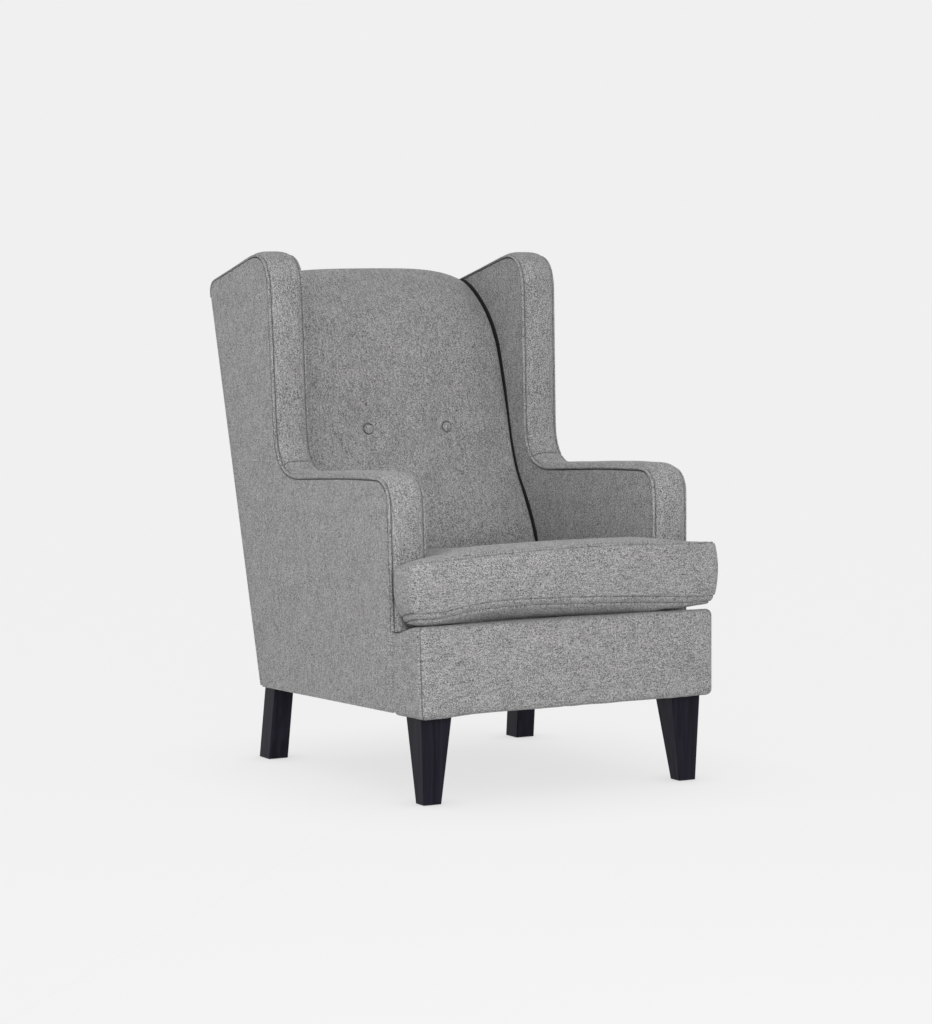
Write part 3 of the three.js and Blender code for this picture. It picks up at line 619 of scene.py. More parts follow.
def swept(stations, upright):
    """A closed solid through stations, which each give the places of one ring of points. Its
    slubs run from station to station, or upright along the rings."""
    body = bmesh.new()
    in_ring = body.verts.layers.int.new("in_ring")
    in_row = body.verts.layers.int.new("in_row")
    first = [body.verts.new(spot) for spot in stations[0]]
    for k, vert in enumerate(first):
        vert[in_ring] = k
    ring = [body.edges.new((first[k - 1], first[k])) for k in range(len(first))]
    bmesh.ops.contextual_create(body, geom=list(ring))
    for row, station in enumerate(stations[1:], 1):
        grown, ring = extruded(body, ring)
        for vert in grown:
            vert.co = station[vert[in_ring]]
            vert[in_row] = row
    bmesh.ops.contextual_create(body, geom=ring)
    girth, length = [0.0], [0.0]
    middle = stations[len(stations) // 2]
    for last, here in zip(middle, middle[1:]):
        girth.append(girth[-1] + (here - last).length)
    half_way = len(middle) // 2
    for last, here in zip(stations, stations[1:]):
        length.append(length[-1] + (here[half_way] - last[half_way]).length)
    layer = body.loops.layers.uv.new(WEAVE_MAP)
    for face in body.faces:
        for loop in face.loops:
            place = (girth[loop.vert[in_ring]], length[loop.vert[in_row]])
            loop[layer].uv = place[::-1] if upright else place
    return body


def frame_outline():
    """The line of the posts, rails and boards that the bands lie on."""
    peak, fall = FRAME_PEAK
    arm, hollow, wing, rear = FRAME_TRIMS
    corners = [
        (0, 0, 0),
        (0, ARM_HEIGHT, arm),
        (wing_front(ARM_HEIGHT), ARM_HEIGHT, hollow),
        (wing_front(peak), peak, wing),
        (raked(0, peak - fall), peak - fall, rear),
        (SIDE_DEPTH, 0, 0),
    ]
    return evenly(rounded(corners), 0.001)


def fullness_along(path, ways):
    """How full the band is at each point: a little thinner over the wing's corner, and from
    there thinner and thinner towards the back."""
    peak = wing_front(WING_PEAK) + CORNERS["wing"] * 0.8
    end = path[-1].x
    full = []
    for p, way in zip(path, ways):
        thin = 0.0
        if p.y > WING_PEAK - 1.1 * CORNERS["wing"]:
            thin = TOP_THINNING * part_way(way.y, 0, 0.9)
        if p.x > peak:
            share = min(1, (p.x - peak) / (end - peak))
            thin = TOP_THINNING + (REAR_THINNING - TOP_THINNING) * share
        full.append(1 - thin)
    return full


def band(path, ways, full, cross_first, cross_last):
    """One band along its path. Its keel lies on the frame, and a rolled end meets a cross seam."""
    half = BEAD + [(across, band_rise(across)) for across in BAND_ACROSS]
    section = half + [(SIDE - across, rise) for across, rise in half[-2::-1]]
    section = [(across + BEAD_INSIDE * max(0, across / SIDE - 0.5) * 2, rise) for across, rise in section]
    outer_keel, inner_keel = OUTER_THICKNESS + KEEL_INSET, SIDE - INNER_THICKNESS - KEEL_INSET
    section = [(outer_keel, KEEL), *section, (inner_keel, KEEL)]
    marks = [(p, way, share, 0.0) for p, way, share in zip(path, ways, full)]
    if cross_last:
        marks = marks[::-1]
    if cross_first or cross_last:
        (p, way, share, _), (q, way_on, share_on, _) = marks[:2]
        run = (q - p).length
        rolled = []
        for gone, dip in CROSS_SEAM_ROLL:
            t = gone / run
            rolled.append((p.lerp(q, t), way.lerp(way_on, t), share, dip))
        marks = rolled + marks[1:]
    if cross_last:
        marks = marks[::-1]
    stations = []
    for p, way, share, dip in marks:
        ring = []
        keel = (min(frame_line, key=lambda q: (q - p).length) - p).dot(way)
        for across, rise in section:
            from_seam = max(0, min(across, SIDE - across))
            keep = max(share, 0.5) + (share - max(share, 0.5)) * min(1, from_seam / 0.02)
            lift = rise * keep
            spot = Vector((INNER + SIDE - across, p.x, p.y))
            if rise > BEAD[-1][1]:
                lift += unevenness(spot, BAND_WAVE, BAND_UNEVEN)
            if rise > BEAD[2][1]:
                lift = max(0.0002, lift - dip)
            if rise == KEEL:
                lift = keel + KEEL_GAP
            ring.append(Vector((spot.x, p.x + way.x * lift, p.y + way.y * lift)))
        stations.append(ring)
    return swept(stations, False)


frame_line = frame_outline()
seam_path = evenly([Vector((0, SEAM_FOOT)), *side_path[1:-1]], PATH_STEP) + [side_path[-2]]
seam_ways = outward(seam_path)
seam_full = fullness_along(seam_path, seam_ways)
cross = min(range(len(seam_path)), key=lambda i: (seam_path[i] - Vector(CROSS_SEAM_AT)).length)
for side, mirrored in SIDES:
    for kind, run in (("arm", slice(0, cross + 1)), ("wing", slice(cross, None))):
        strip = band(seam_path[run], seam_ways[run], seam_full[run], kind == "wing", kind == "arm")
        lean(strip, mirrored)
        dress(f"{kind}_band_{side}_cover", strip, f"{kind}_band_{side}", sharp=60)

# Outside back: one panel of fabric over board, hand-sewn down both sides and along the top.
BACK_EDGE = 0.002
BACK_SWELL = 0.002
BACK_GRID = 0.03

back_corners = [(-HALF, 0.0), (HALF, 0.0), (HALF, back_top), (-HALF, back_top)]
back_outline = [Vector(c) for c in back_corners]
back_panel = padded_plate(back_outline, OUTSIDE_BACK, BACK_EDGE, BACK_SWELL, BACK_GRID)
for vert in back_panel.verts:
    x, z, proud = vert.co
    vert.co = (x, raked(-proud, z), z)
lean(back_panel)
dress("outside_back", back_panel, "outside_back_panel")

# Apron: fabric over padding on the front rail, returned along both sides to the arm fronts,
# with an upright seam down each front corner.
APRON_DEPTH = 0.111
APRON_DROP = 0.0085
APRON_TOP = 0.172
APRON_REAR = 0.0027
APRON_WALL = 0.0085
APRON_CORNER = 0.014
APRON_ROLL = 0.013
APRON_SWELL = 0.004
APRON_SEAM = 0.0011
APRON_SEAM_DEPTH = 0.0035
APRON_SINK = 0.016
APRON_LIFT = 0.0045
APRON_HEM = 0.04
APRON_GRID = (0.02, 0.02, 0.018)


def block(bm, size, middle=(0, 0, 0)):
    """A block of a size, round its middle."""
    verts = bmesh.ops.create_cube(bm, size=1)["verts"]
    bmesh.ops.scale(bm, vec=size, verts=verts)
    bmesh.ops.translate(bm, vec=middle, verts=verts)
    return verts


def rolled(bm, geom, offset, segments, affect="EDGES"):
    """Rounds edges or corners off."""
    return bmesh.ops.bevel(
        bm, geom=geom, offset=offset, affect=affect, segments=segments, profile=0.5, material=-1
    )


apron = bmesh.new()
reach = HALF - 0.0035
block(
    apron,
    (2 * reach, APRON_DEPTH + APRON_REAR, APRON_TOP + APRON_DROP),
    (0, (APRON_REAR - APRON_DEPTH) / 2, (APRON_TOP - APRON_DROP) / 2),
)


def rises(edge):
    return abs((edge.verts[0].co - edge.verts[1].co).z)


upright = [e for e in apron.edges if all(v.co.y < 0 for v in e.verts) and rises(e) > 0.1]
rolled(apron, upright, APRON_CORNER, 8)
level = [
    e for e in apron.edges
    if rises(e) < 1e-6
    and any(abs(f.normal.z) > 0.9 for f in e.link_faces)
    and not all(v.co.y > APRON_REAR - 1e-6 for v in e.verts)
]
rolled(apron, level, APRON_ROLL, 6)
for axis, step in enumerate(APRON_GRID):
    spots = [v.co[axis] for v in apron.verts]
    slice_evenly(apron, axis, min(spots), max(spots), step)
bmesh.ops.delete(apron, geom=[f for f in apron.faces if f.normal.y > 0.9], context="FACES")


def from_mitre(place):
    """How far a point lies to one side of the upright plane through its front corner."""
    return (abs(place.x) - reach + place.y + APRON_DEPTH) / math.sqrt(2)


for sign in (-1, 1):
    for beside in (-1.6, -0.7, 0.7, 1.6):
        corner = Vector((sign * (reach + beside * APRON_SEAM * math.sqrt(2)), -APRON_DEPTH, 0))
        slice_at(apron, corner, (sign, 1, 0))
apron.normal_update()
sewn_in = {}
for vert in apron.verts:
    off = abs(from_mitre(vert.co))
    if abs(vert.co.x) > reach - 0.022 and off < APRON_SEAM * 0.8:
        sewn_in[vert] = -vert.normal * APRON_SEAM_DEPTH * (1 if off < 1e-4 else 0.75)
for vert, inward in sewn_in.items():
    vert.co += inward
for vert in apron.verts:
    x, y, z = vert.co
    middle = max(0, 1 - (x / reach) ** 6) * max(0, 1 - (2 * z / APRON_TOP - 1) ** 2)
    front = 1 if y < -APRON_DEPTH + 1e-4 else 0
    top = 1 if z > APRON_TOP - 1e-4 else 0
    low = max(0, 1 - (z + APRON_DROP) / APRON_HEM)
    lump = unevenness(vert.co, 0.055, 0.0012) + low * unevenness(vert.co + AXES[1], 0.02, 0.0022)
    sunk = APRON_SINK * part_way(y, -APRON_DEPTH * 0.8, 0.07) ** 1.5
    sunk *= part_way(abs(x), 0.262, 0.02) * max(0, z / APRON_TOP) ** 4
    lifted = low * APRON_LIFT * part_way(x, -0.30, 0.08)
    drop = top * lump - low * abs(lump) * 0.6 - sunk + lifted
    vert.co += Vector((0, -front * (APRON_SWELL * middle + lump), drop))
face_out(apron)
bmesh.ops.solidify(apron, geom=apron.faces, thickness=APRON_WALL)
lean(apron)
dress("apron", apron, "front_apron", across=True)

# Seat deck: padding under plain fabric over the springs, open to view once the cushion is out.
DECK_TOP = 0.1712
DECK_THICKNESS = 0.0485
DECK_EDGE = 0.012
DECK_FRONT = 0.0036
DECK_REAR = 0.0567
DECK_SIDE = 0.0012
DECK_GRID = 0.02
DECK_UNEVEN = 0.0006

deck_reach = INNER - DECK_SIDE
deck_back = raked(DECK_REAR, DECK_TOP)
deck_outline = [
    Vector((sign * deck_reach, y))
    for sign, y in ((-1, DECK_FRONT), (1, DECK_FRONT), (1, deck_back), (-1, deck_back))
]
deck = padded_plate(deck_outline, DECK_THICKNESS, DECK_EDGE, 0.0, DECK_GRID, DECK_UNEVEN)
for vert in deck.verts:
    x, y, down = vert.co
    z = DECK_TOP + down
    vert.co = (x, y * raked(DECK_REAR, z) / deck_back, z)
lean(deck)
dress("deck_cover", deck, "seat_deck")

# Dust cover: thin black spun cloth, stapled under the rails all round, with a hole for each
# leg's bolt.
COVER_HALF = 0.3432
COVER_FRONT = -0.0925
COVER_BACK = 0.6065
COVER_LEVEL = 0.0012
COVER_THICK = 0.0005
COVER_SAG = 0.0016
COVER_BLACK = (0.010, 0.010, 0.011, 1)
COVER_WORN = (0.030, 0.030, 0.032, 1)
COVER_SLOPE = 0.12
BOLT_HOLE = 0.0062
STAPLE = (0.0115, 0.0012, 0.0007)
STAPLE_PITCH = 0.042
STAPLE_EDGE = 0.010


def spun_cloth():
    material, shader, place = on_object("spun_cloth", SpecularIORLevel=0.25)
    fibres = place.noise(700.0, 3.0, 1.2)
    points = place.node("TexVoronoi", {}, {"Vector": place, "Scale": 420.0})
    bonds = 1.0 - (points * 2.2).math("MINIMUM", 1.0)
    bump = (fibres - bonds * 0.6).relief(0.5, 0.0003)
    tone = fibres * 0.7 + bonds * 0.3
    feed(shader, BaseColor=tone.blend(COVER_BLACK, COVER_WORN), Roughness=fibres * 0.2 + 0.7, Normal=bump)
    return material


def down_plan(place):
    """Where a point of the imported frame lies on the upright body's plan, at the body's bottom."""
    y = (place.y - ARM_FRONT) / math.cos(PITCH)
    narrow = 1 - (BOTTOM_TUCK + REAR_TUCK * y / SIDE_DEPTH) / HALF
    return Vector((place.x / narrow, y, 0))


bolts = []
for name in ("front_hanger_bolt_left", "rear_hanger_bolt_left"):
    low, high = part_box(name)
    level = (UNDERSIDE - low.z) / (high.z - low.z)
    spot = down_plan(Vector(((low.x + high.x) / 2, low.y + (high.y - low.y) * level, 0)))
    bolts += [spot, Vector((-spot.x, spot.y, 0))]

cover = bmesh.new()
bmesh.ops.create_grid(cover, x_segments=1, y_segments=1, size=0.5)
bmesh.ops.scale(cover, vec=(2 * COVER_HALF, COVER_BACK - COVER_FRONT, 1), verts=cover.verts)
bmesh.ops.translate(cover, vec=(0, (COVER_BACK + COVER_FRONT) / 2, 0), verts=cover.verts)
across_cuts = [COVER_HALF * (i / 9 - 1) for i in range(1, 18)]
along_cuts = [COVER_FRONT + (COVER_BACK - COVER_FRONT) * i / 18 for i in range(1, 18)]
for axis, places in ((0, across_cuts), (1, along_cuts)):
    clear = [p for p in places if all(abs(p - bolt[axis]) > 0.012 for bolt in bolts)]
    for p in clear + sorted({round(bolt[axis], 6) for bolt in bolts}):
        slice_at(cover, AXES[axis] * p, AXES[axis])
centres = [min(cover.verts, key=lambda v: (v.co - bolt).length) for bolt in bolts]
rolled(cover, centres, BOLT_HOLE, 3, "VERTICES")
holes = [f for f in cover.faces if any((f.calc_center_median() - bolt).length < 0.002 for bolt in bolts)]
bmesh.ops.delete(cover, geom=holes, context="FACES")
for vert in cover.verts:
    x, y, _ = vert.co
    slack = part_way(COVER_HALF - abs(x), 0, COVER_SLOPE)
    slack *= part_way(min(y - COVER_FRONT, COVER_BACK - y), 0, COVER_SLOPE)
    ripple = unevenness(Vector((x * 2.5, y, 0)), 0.09, 0.0012) * slack
    vert.co.z = COVER_LEVEL - COVER_SAG * slack + ripple
face_out(cover)
bmesh.ops.solidify(cover, geom=cover.faces, thickness=COVER_THICK)
lean(cover)
spun = spun_cloth()
cover_cloth = fit(new_piece("dust_cover_cloth", cover, spun), node="dust_cover")


def edges_along(verts, axis, length):
    """The edges of some points that run further than a length along one axis."""
    edges = {e for v in verts for e in v.link_edges}
    return [e for e in edges if abs(e.verts[0].co[axis] - e.verts[1].co[axis]) > length]


staples = bmesh.new()
span, length = 2 * (COVER_HALF - STAPLE_EDGE), COVER_BACK - COVER_FRONT - 2 * STAPLE_EDGE
middle_y = (COVER_BACK + COVER_FRONT) / 2
for run, turned, far in ((span, 0, length / 2), (length, 90, span / 2)):
    count = round(run / STAPLE_PITCH)
    for sign in (-1, 1):
        for i in range(count):
            along = run * ((i + 0.5) / count - 0.5)
            x, y = (along, sign * far) if turned == 0 else (sign * far, along)
            if any((Vector((x, y + middle_y, 0)) - bolt).length < 0.02 for bolt in bolts):
                continue
            made = block(staples, STAPLE)
            bent = rolled(staples, edges_along(made, 1, 1e-4), 0.0003, 2)
            made = list({v for v in [*bent["verts"], *made] if v.is_valid})
            tilt = Matrix.Rotation(math.radians(turned + 6 * noise.noise(Vector((x, y, 0)) / 0.03)), 4, "Z")
            place = Matrix.Translation((x, y + middle_y, COVER_LEVEL - COVER_THICK - 0.0004)) @ tilt
            bmesh.ops.transform(staples, matrix=place, verts=made)
lean(staples)
face_out(staples)
staple_row = fit(new_piece("cover_staples", staples, steel))

# Back pad: foam and fibre under fabric, pulled over the crest rail and down the straps, and
# tied back by its two buttons. The cover is swollen by its filling, as cloth.
PAD_GAP = 0.0050
PAD_TOP = 0.898
PAD_FOOT = 0.1723
PAD_DEPTH = 0.212
PAD_CROWN = 0.018
PAD_SHOULDER = 0.030
PAD_SLOPE = 0.013
PAD_FACE = [(0, 1.0), (0.07, 1.02), (0.12, 1.06), (0.175, 1.095), (0.24, 1.06), (0.31, 0.985), (0.38, 0.885),
            (0.46, 0.838), (0.54, 0.828), (0.66, 0.830), (0.74, 0.818), (0.8, 0.795), (0.867, 0.715),
            (0.91, 0.625), (0.956, 0.485), (0.98, 0.385), (1, 0.26)]
CREST_ROLL = 0.016
PAD_NEAR = 0.0566
PAD_FAR = 0.0086
PAD_ROUND = 0.009
PAD_ROWS = 100
PAD_COLUMNS = 78
TIE_SPACING = 0.200
TIE_HEIGHT = 0.5415
TUFT_DEPTH = 0.010
TUFT_REACH = 0.036
PAD_CAP = 0.005
PAD_PRESSURE = 4.0
PAD_WAVE = 0.10
PAD_UNEVEN = 0.0020
FIRST_FRAME = 1
LAST_FRAME = 20


def eased(table, share):
    """The value between a table's rows, on a smooth curve through them."""
    i = max([k for k in range(len(table) - 1) if table[k][0] <= share] or [0])
    (x0, y0), (x1, y1) = table[i : i + 2]
    slopes = []
    for k in (i, i + 1):
        before, after = table[max(k - 1, 0)], table[min(k + 1, len(table) - 1)]
        slopes.append((after[1] - before[1]) / (after[0] - before[0]) * (x1 - x0))
    t = (share - x0) / (x1 - x0)
    eased_in = t * t * (3 - 2 * t)
    return y0 + (y1 - y0) * eased_in + slopes[0] * t * (1 - t) ** 2 - slopes[1] * t * t * (1 - t)


def pad_depth(x, share):
    """How deep the pad is in front of the back's plane, without its tufts."""
    u = x / (INNER - PAD_GAP)
    fading = part_way(min(share / 0.25, (1 - share) / 0.2))
    return PAD_DEPTH * eased(PAD_FACE, share) + PAD_CROWN * (1 - u * u) * fading


def tuft(x, z):
    away = math.hypot(abs(x) - TIE_SPACING / 2, z - TIE_HEIGHT)
    return TUFT_DEPTH * math.exp(-((away / TUFT_REACH) ** 2))


def pad_ring(x, drawn_in):
    """The pad's upright outline at x: up its face, over the crest, and down behind it."""
    u = x / (INNER - PAD_GAP)
    rise = PAD_TOP - PAD_FOOT - PAD_SHOULDER * abs(u) ** 5 - PAD_SLOPE * ((1 - u) / 2) ** 5 - drawn_in
    outline = []
    for i in range(PAD_ROWS + 1):
        share = i / PAD_ROWS
        z = PAD_FOOT + rise * share
        depth = pad_depth(x, share) - tuft(x, z) - drawn_in
        outline.append((depth, z))
    crest_depth, crest = outline[-1]
    rear = PAD_FAR + drawn_in
    for k in range(1, 7):
        turn = math.radians(15 * k)
        depth = rear + (crest_depth - rear) * (1 - math.sin(turn))
        outline.append((depth, crest - CREST_ROLL * (1 - math.cos(turn))))
    low = outline[-1][1]
    outline += [(rear, low + (CREST_TOP - low) * k / 6) for k in range(1, 7)]
    outline += [(PAD_NEAR + drawn_in, CREST_TOP + (PAD_FOOT - CREST_TOP) * k / 12) for k in range(13)]
    foot = outline[0][0]
    outline += [(PAD_NEAR + drawn_in + (foot - PAD_NEAR - drawn_in) * k / 8, PAD_FOOT) for k in range(1, 8)]
    return [Vector((x, raked(depth, z), z)) for depth, z in outline]


def applied(piece):
    """The piece's mesh with its modifiers worked in, which are then removed."""
    graph = bpy.context.evaluated_depsgraph_get()
    mesh = bpy.data.meshes.new_from_object(piece.evaluated_get(graph))
    piece.modifiers.clear()
    return mesh


def swell(piece, held, pressure, cap, slack=0.0, stiffness=15.0):
    """Swells a closed cover like cloth. held and cap give each point's pin and farthest move."""
    scene = bpy.context.scene
    pins = piece.vertex_groups.new(name="pins")
    for vert in piece.data.vertices:
        weight = held(vert.co)
        if weight > 0:
            pins.add([vert.index], weight, "REPLACE")
    cloth = piece.modifiers.new("cloth", "CLOTH")
    cloth.settings.vertex_group_mass = "pins"
    cloth.settings.use_pressure = True
    cloth.settings.uniform_pressure_force = pressure
    cloth.settings.shrink_min = -slack
    cloth.settings.tension_stiffness = stiffness
    cloth.settings.compression_stiffness = stiffness
    cloth.settings.effector_weights.gravity = 0
    for frame_number in range(FIRST_FRAME, LAST_FRAME + 1):
        scene.frame_set(frame_number)
    swollen = applied(piece)
    scene.frame_set(FIRST_FRAME)
    for vert, moved in zip(piece.data.vertices, swollen.vertices):
        move = moved.co - vert.co
        farthest = cap(vert.co)
        if move.length > farthest:
            move *= farthest / move.length
        vert.co += move
    bpy.data.meshes.remove(swollen)
    piece.vertex_groups.clear()


half_pad = INNER - PAD_GAP
rounding = []
for k in range(6):
    turn = math.radians(90 - 18 * k)
    rounding.append((half_pad - PAD_ROUND + PAD_ROUND * math.sin(turn), PAD_ROUND * (1 - math.cos(turn))))
flat_half = half_pad - PAD_ROUND
flats = [(flat_half * (1 - 2 * k / PAD_COLUMNS), 0.0) for k in range(1, PAD_COLUMNS)]
pad_columns = rounding + flats + [(-x, drawn) for x, drawn in rounding[::-1]]
pad_stations = [pad_ring(x, drawn) for x, drawn in pad_columns]
pad_shell = swept(pad_stations, True)
bmesh.ops.triangulate(pad_shell, faces=[f for f in pad_shell.faces if len(f.verts) > 4])
in_ring = pad_shell.verts.layers.int["in_ring"]
fixed = set()
for vert in pad_shell.verts:
    if vert[in_ring] > PAD_ROWS + 8 or vert[in_ring] < 3 or abs(vert.co.x) > half_pad - 1e-5:
        fixed.add(vert.index)
for vert in pad_shell.verts:
    if vert.index not in fixed:
        vert.co.y += unevenness(vert.co, PAD_WAVE, PAD_UNEVEN)
lean(pad_shell)
fixed_spots = nearest_of([vert.co for vert in pad_shell.verts if vert.index in fixed])


def tie_face(sign, depth):
    """A point in line with a tie, a depth in front of the back's plane, on the leaned chair."""
    return on_chair((sign * TIE_SPACING / 2, raked(depth, TIE_HEIGHT), TIE_HEIGHT))


tie_share = (TIE_HEIGHT - PAD_FOOT) / (PAD_TOP - PAD_FOOT)
tie_depth = pad_depth(TIE_SPACING / 2, tie_share) - TUFT_DEPTH
tie_faces = [tie_face(sign, tie_depth) for sign in (1, -1)]


def pad_held(place):
    if fixed_spots.find(place)[2] < 1e-6:
        return 1.0
    near = min((place - tie).length for tie in tie_faces)
    return part_way(1.7 - near / 0.020)


pad = loose_piece("back_pad_cover", pad_shell)
swell(pad, pad_held, PAD_PRESSURE, lambda place: PAD_CAP)

PIT_REACH = 0.0112
PIT_SLOPE = 0.0014
PIT_DEPTH = 0.0065

pulled = bmesh.new()
pulled.from_mesh(pad.data)
for near_tie in (0.022, 0.018):
    close = {v for v in pulled.verts if min((v.co - tie).length for tie in tie_faces) < near_tie}
    near = [e for e in pulled.edges if close.issuperset(e.verts)]
    bmesh.ops.subdivide_edges(pulled, edges=near, cuts=1, use_grid_fill=True)
into_pad = (tie_face(1, 0) - tie_face(1, 0.1)).normalized()
for vert in pulled.verts:
    for tie in tie_faces:
        off = vert.co - tie
        away = (off - into_pad * off.dot(into_pad)).length
        if away < PIT_REACH + PIT_SLOPE and off.length < 0.04:
            share = min(1, (PIT_REACH + PIT_SLOPE - away) / PIT_SLOPE)
            vert.co += into_pad * PIT_DEPTH * share * share * (3 - 2 * share)
bmesh.ops.triangulate(pulled, faces=[f for f in pulled.faces if len(f.verts) > 4])
face_out(pulled)
pulled.to_mesh(pad.data)
pulled.free()


def finish_cover(piece, node, body):
    """Smooths a swollen cover and puts it in the CAD node's place."""
    piece.data.shade_smooth()
    piece.data.materials.clear()
    piece.data.materials.append(fabric)
    round_off = piece.modifiers.new("round_off", "SUBSURF")
    round_off.levels = round_off.render_levels = 1
    fit(piece, body, node)


finish_cover(pad, "back_pad", "chair")

# Shadow strips: painted shade. A dark cloth strip is set into the gap where each inner panel's cover
# passes in beside the back pad, standing in for the deep shadow in that gap.
STRIP_BEHIND = 0.0060
STRIP_WIDE = 0.022
STRIP_PROUD = 0.0022
STRIP_SUNK = 0.0004

for side, mirrored in SIDES:
    strip_rings = []
    for vert in pad_ring(half_pad, 0.0)[: PAD_ROWS + 1 : 2]:
        depth = (raked(0, vert.z) - vert.y) * math.cos(RAKE) - STRIP_BEHIND
        behind = BEHIND_CREST + 0.003 if vert.z > CREST_TOP else POST_FRONT + 0.001
        rear = max(depth - STRIP_WIDE, behind)
        corners = ((STRIP_PROUD, depth), (STRIP_PROUD, rear), (STRIP_SUNK, rear), (STRIP_SUNK, depth))
        strip_rings.append([Vector((INNER - proud, raked(d, vert.z), vert.z)) for proud, d in corners])
    # A dark sheet of the dust cover's black cloth, standing in for the shade in the gap: painted shade.
    shadow_strip = swept(strip_rings, True)
    lean(shadow_strip, mirrored)
    face_out(shadow_strip)
    fit(new_piece(f"pull_strip_{side}", shadow_strip, spun))

# Covered buttons: domed shells covered in the fabric, each tied through the pad by a shank.
BUTTON_ACROSS = 0.0205
BUTTON_PROFILE = [(0, 0.0042), (0.25, 0.0041), (0.5, 0.0037), (0.72, 0.0031), (0.88, 0.0022), (0.97, 0.0012),
                  (1.0, 0.0002), (0.97, -0.0010), (0.85, -0.0020), (0.3, -0.0024), (0.28, -0.02), (0, -0.02)]
BUTTON_PROUD = 0.0004

for side, sign in (("left", 1), ("right", -1)):
    button = bmesh.new()
    line = [button.verts.new((share * BUTTON_ACROSS / 2, 0, height)) for share, height in BUTTON_PROFILE]
    edges = [button.edges.new(pair) for pair in zip(line, line[1:])]
    bmesh.ops.spin(
        button, geom=line + edges, cent=(0, 0, 0), axis=(0, 0, 1), angle=math.tau, steps=36, use_merge=True
    )
    bmesh.ops.remove_doubles(button, verts=button.verts, dist=1e-5)
    facing = Matrix.Rotation(math.pi / 2 - RAKE - PITCH, 4, "X")
    seat_of = Matrix.Translation(tie_face(sign, tie_depth + BUTTON_PROUD))
    bmesh.ops.transform(button, matrix=seat_of @ facing, verts=button.verts)
    dress(f"covered_button_{side}", button, f"button_{side}", sharp=50)

# Seat cushion: a loose T-shaped case, boxed all round, filled with foam wrapped in fibre. The
# boxing is sewn between a crowned top panel and a bottom panel that rests on the deck.
CUSHION_EAR = 0.3590
CUSHION_MAIN = 0.270
CUSHION_FRONT = -0.116
CUSHION_EAR_REAR = -0.0205
CUSHION_REAR = 0.429
CUSHION_BOW = 0.013
EAR_CORNER = 0.018
REAR_CORNER = 0.040
NECK_CORNER = 0.008
CUSHION_GRID = 0.0095
BOXING_RINGS = 12
DECK_LINE = 0.1728
SEAM_LOW = 0.1975
SEAM_HIGH = 0.3050
REAR_DROP = 0.038
SEAM_ARCH = 0.010
SEAM_TILT = 0.0050
LOW_ARCH = 0.015
LOW_SLOPE = 0.0315
EAR_SAG = 0.011
EAR_DROOP = 0.012
EAR_TUCK = 0.010
TOP_CROWN = 0.0175
TOP_RUN = 0.095
LOW_CROWN = 0.036
LOW_RUN = 0.05
END_LIFT = 0.008
SEAM_WIDTH = 0.0012
SEAM_DEPTH = 0.0050
BOXING_SWELL = 0.003
END_SWELL = 0.009
CUSHION_CAP = 0.003
CUSHION_PRESSURE = 3.0
CUSHION_SLACK = 0.004
EAR_STEP = 0.03
ARCH_HALF = 0.30

half_plan = [
    (0, CUSHION_REAR, 0),
    (CUSHION_MAIN, CUSHION_REAR, REAR_CORNER),
    (CUSHION_MAIN, CUSHION_EAR_REAR, NECK_CORNER),
    (CUSHION_EAR, CUSHION_EAR_REAR, EAR_CORNER),
    (CUSHION_EAR, CUSHION_FRONT, EAR_CORNER),
]
plan = half_plan + [(-x, y, trim) for x, y, trim in half_plan[::-1]]
plan_path = evenly(rounded(plan, 8), CUSHION_GRID)
if (plan_path[-1] - plan_path[0]).length < CUSHION_GRID / 2:
    plan_path.pop()


def bowed(x, y):
    """The cushion's front edge bows forward between its ears."""
    ahead = part_way(CUSHION_EAR_REAR - EAR_STEP - y, 0, CUSHION_EAR_REAR - EAR_STEP - CUSHION_FRONT)
    return y - CUSHION_BOW * ahead * (1 - (x / CUSHION_EAR) ** 2)


def fill_panel(bm, rim, grid):
    """Fills a rim with one panel: a margin along the seam, and an even mesh inside it."""
    face = bmesh.ops.contextual_create(bm, geom=rim)["faces"][0]
    bmesh.ops.inset_region(bm, faces=[face], thickness=grid, use_even_offset=True)
    inside = {face}
    for axis in (0, 1):
        low = min(v.co[axis] for f in inside for v in f.verts)
        high = max(v.co[axis] for f in inside for v in f.verts)
        count = round((high - low) / grid)
        for i in range(1, count):
            at = low + (high - low) * (i + 0.003) / count
            spans = {f: [v.co[axis] for v in f.verts] for f in inside}
            crossed = [f for f, span in spans.items() if min(span) < at < max(span)]
            geom = {g for f in crossed for g in (f, *f.edges, *f.verts)}
            way = AXES[axis]
            cut = bmesh.ops.bisect_plane(bm, geom=list(geom), plane_co=way * at, plane_no=way, dist=1e-6)
            inside |= {g for g in cut["geom"] if isinstance(g, bmesh.types.BMFace)}
    return {v for f in inside for v in f.verts}


TOP, BOXING, UNDER = 0, 1, 2
cushion = bmesh.new()
part = cushion.verts.layers.int.new("part")
ring_no = cushion.verts.layers.int.new("ring")
top_rim = [cushion.verts.new((x, y, 0)) for x, y in plan_path]
rim_edges = [cushion.edges.new((top_rim[i - 1], top_rim[i])) for i in range(len(top_rim))]
ring = rim_edges
for k in range(1, BOXING_RINGS + 1):
    grown, ring = extruded(cushion, ring)
    for v in grown:
        v.co.z -= 0.01
        v[part] = BOXING
        v[ring_no] = k
for e in rim_edges + ring:
    e.seam = True
for v in {v for e in rim_edges for v in e.verts}:
    v[part] = BOXING
for rim, kind in ((rim_edges, TOP), (ring, UNDER)):
    for v in fill_panel(cushion, rim, CUSHION_GRID):
        v[part] = kind
bmesh.ops.remove_doubles(cushion, verts=[v for v in cushion.verts if v[part] != BOXING], dist=0.003)
bmesh.ops.triangulate(cushion, faces=[f for f in cushion.faces if len(f.verts) > 4])

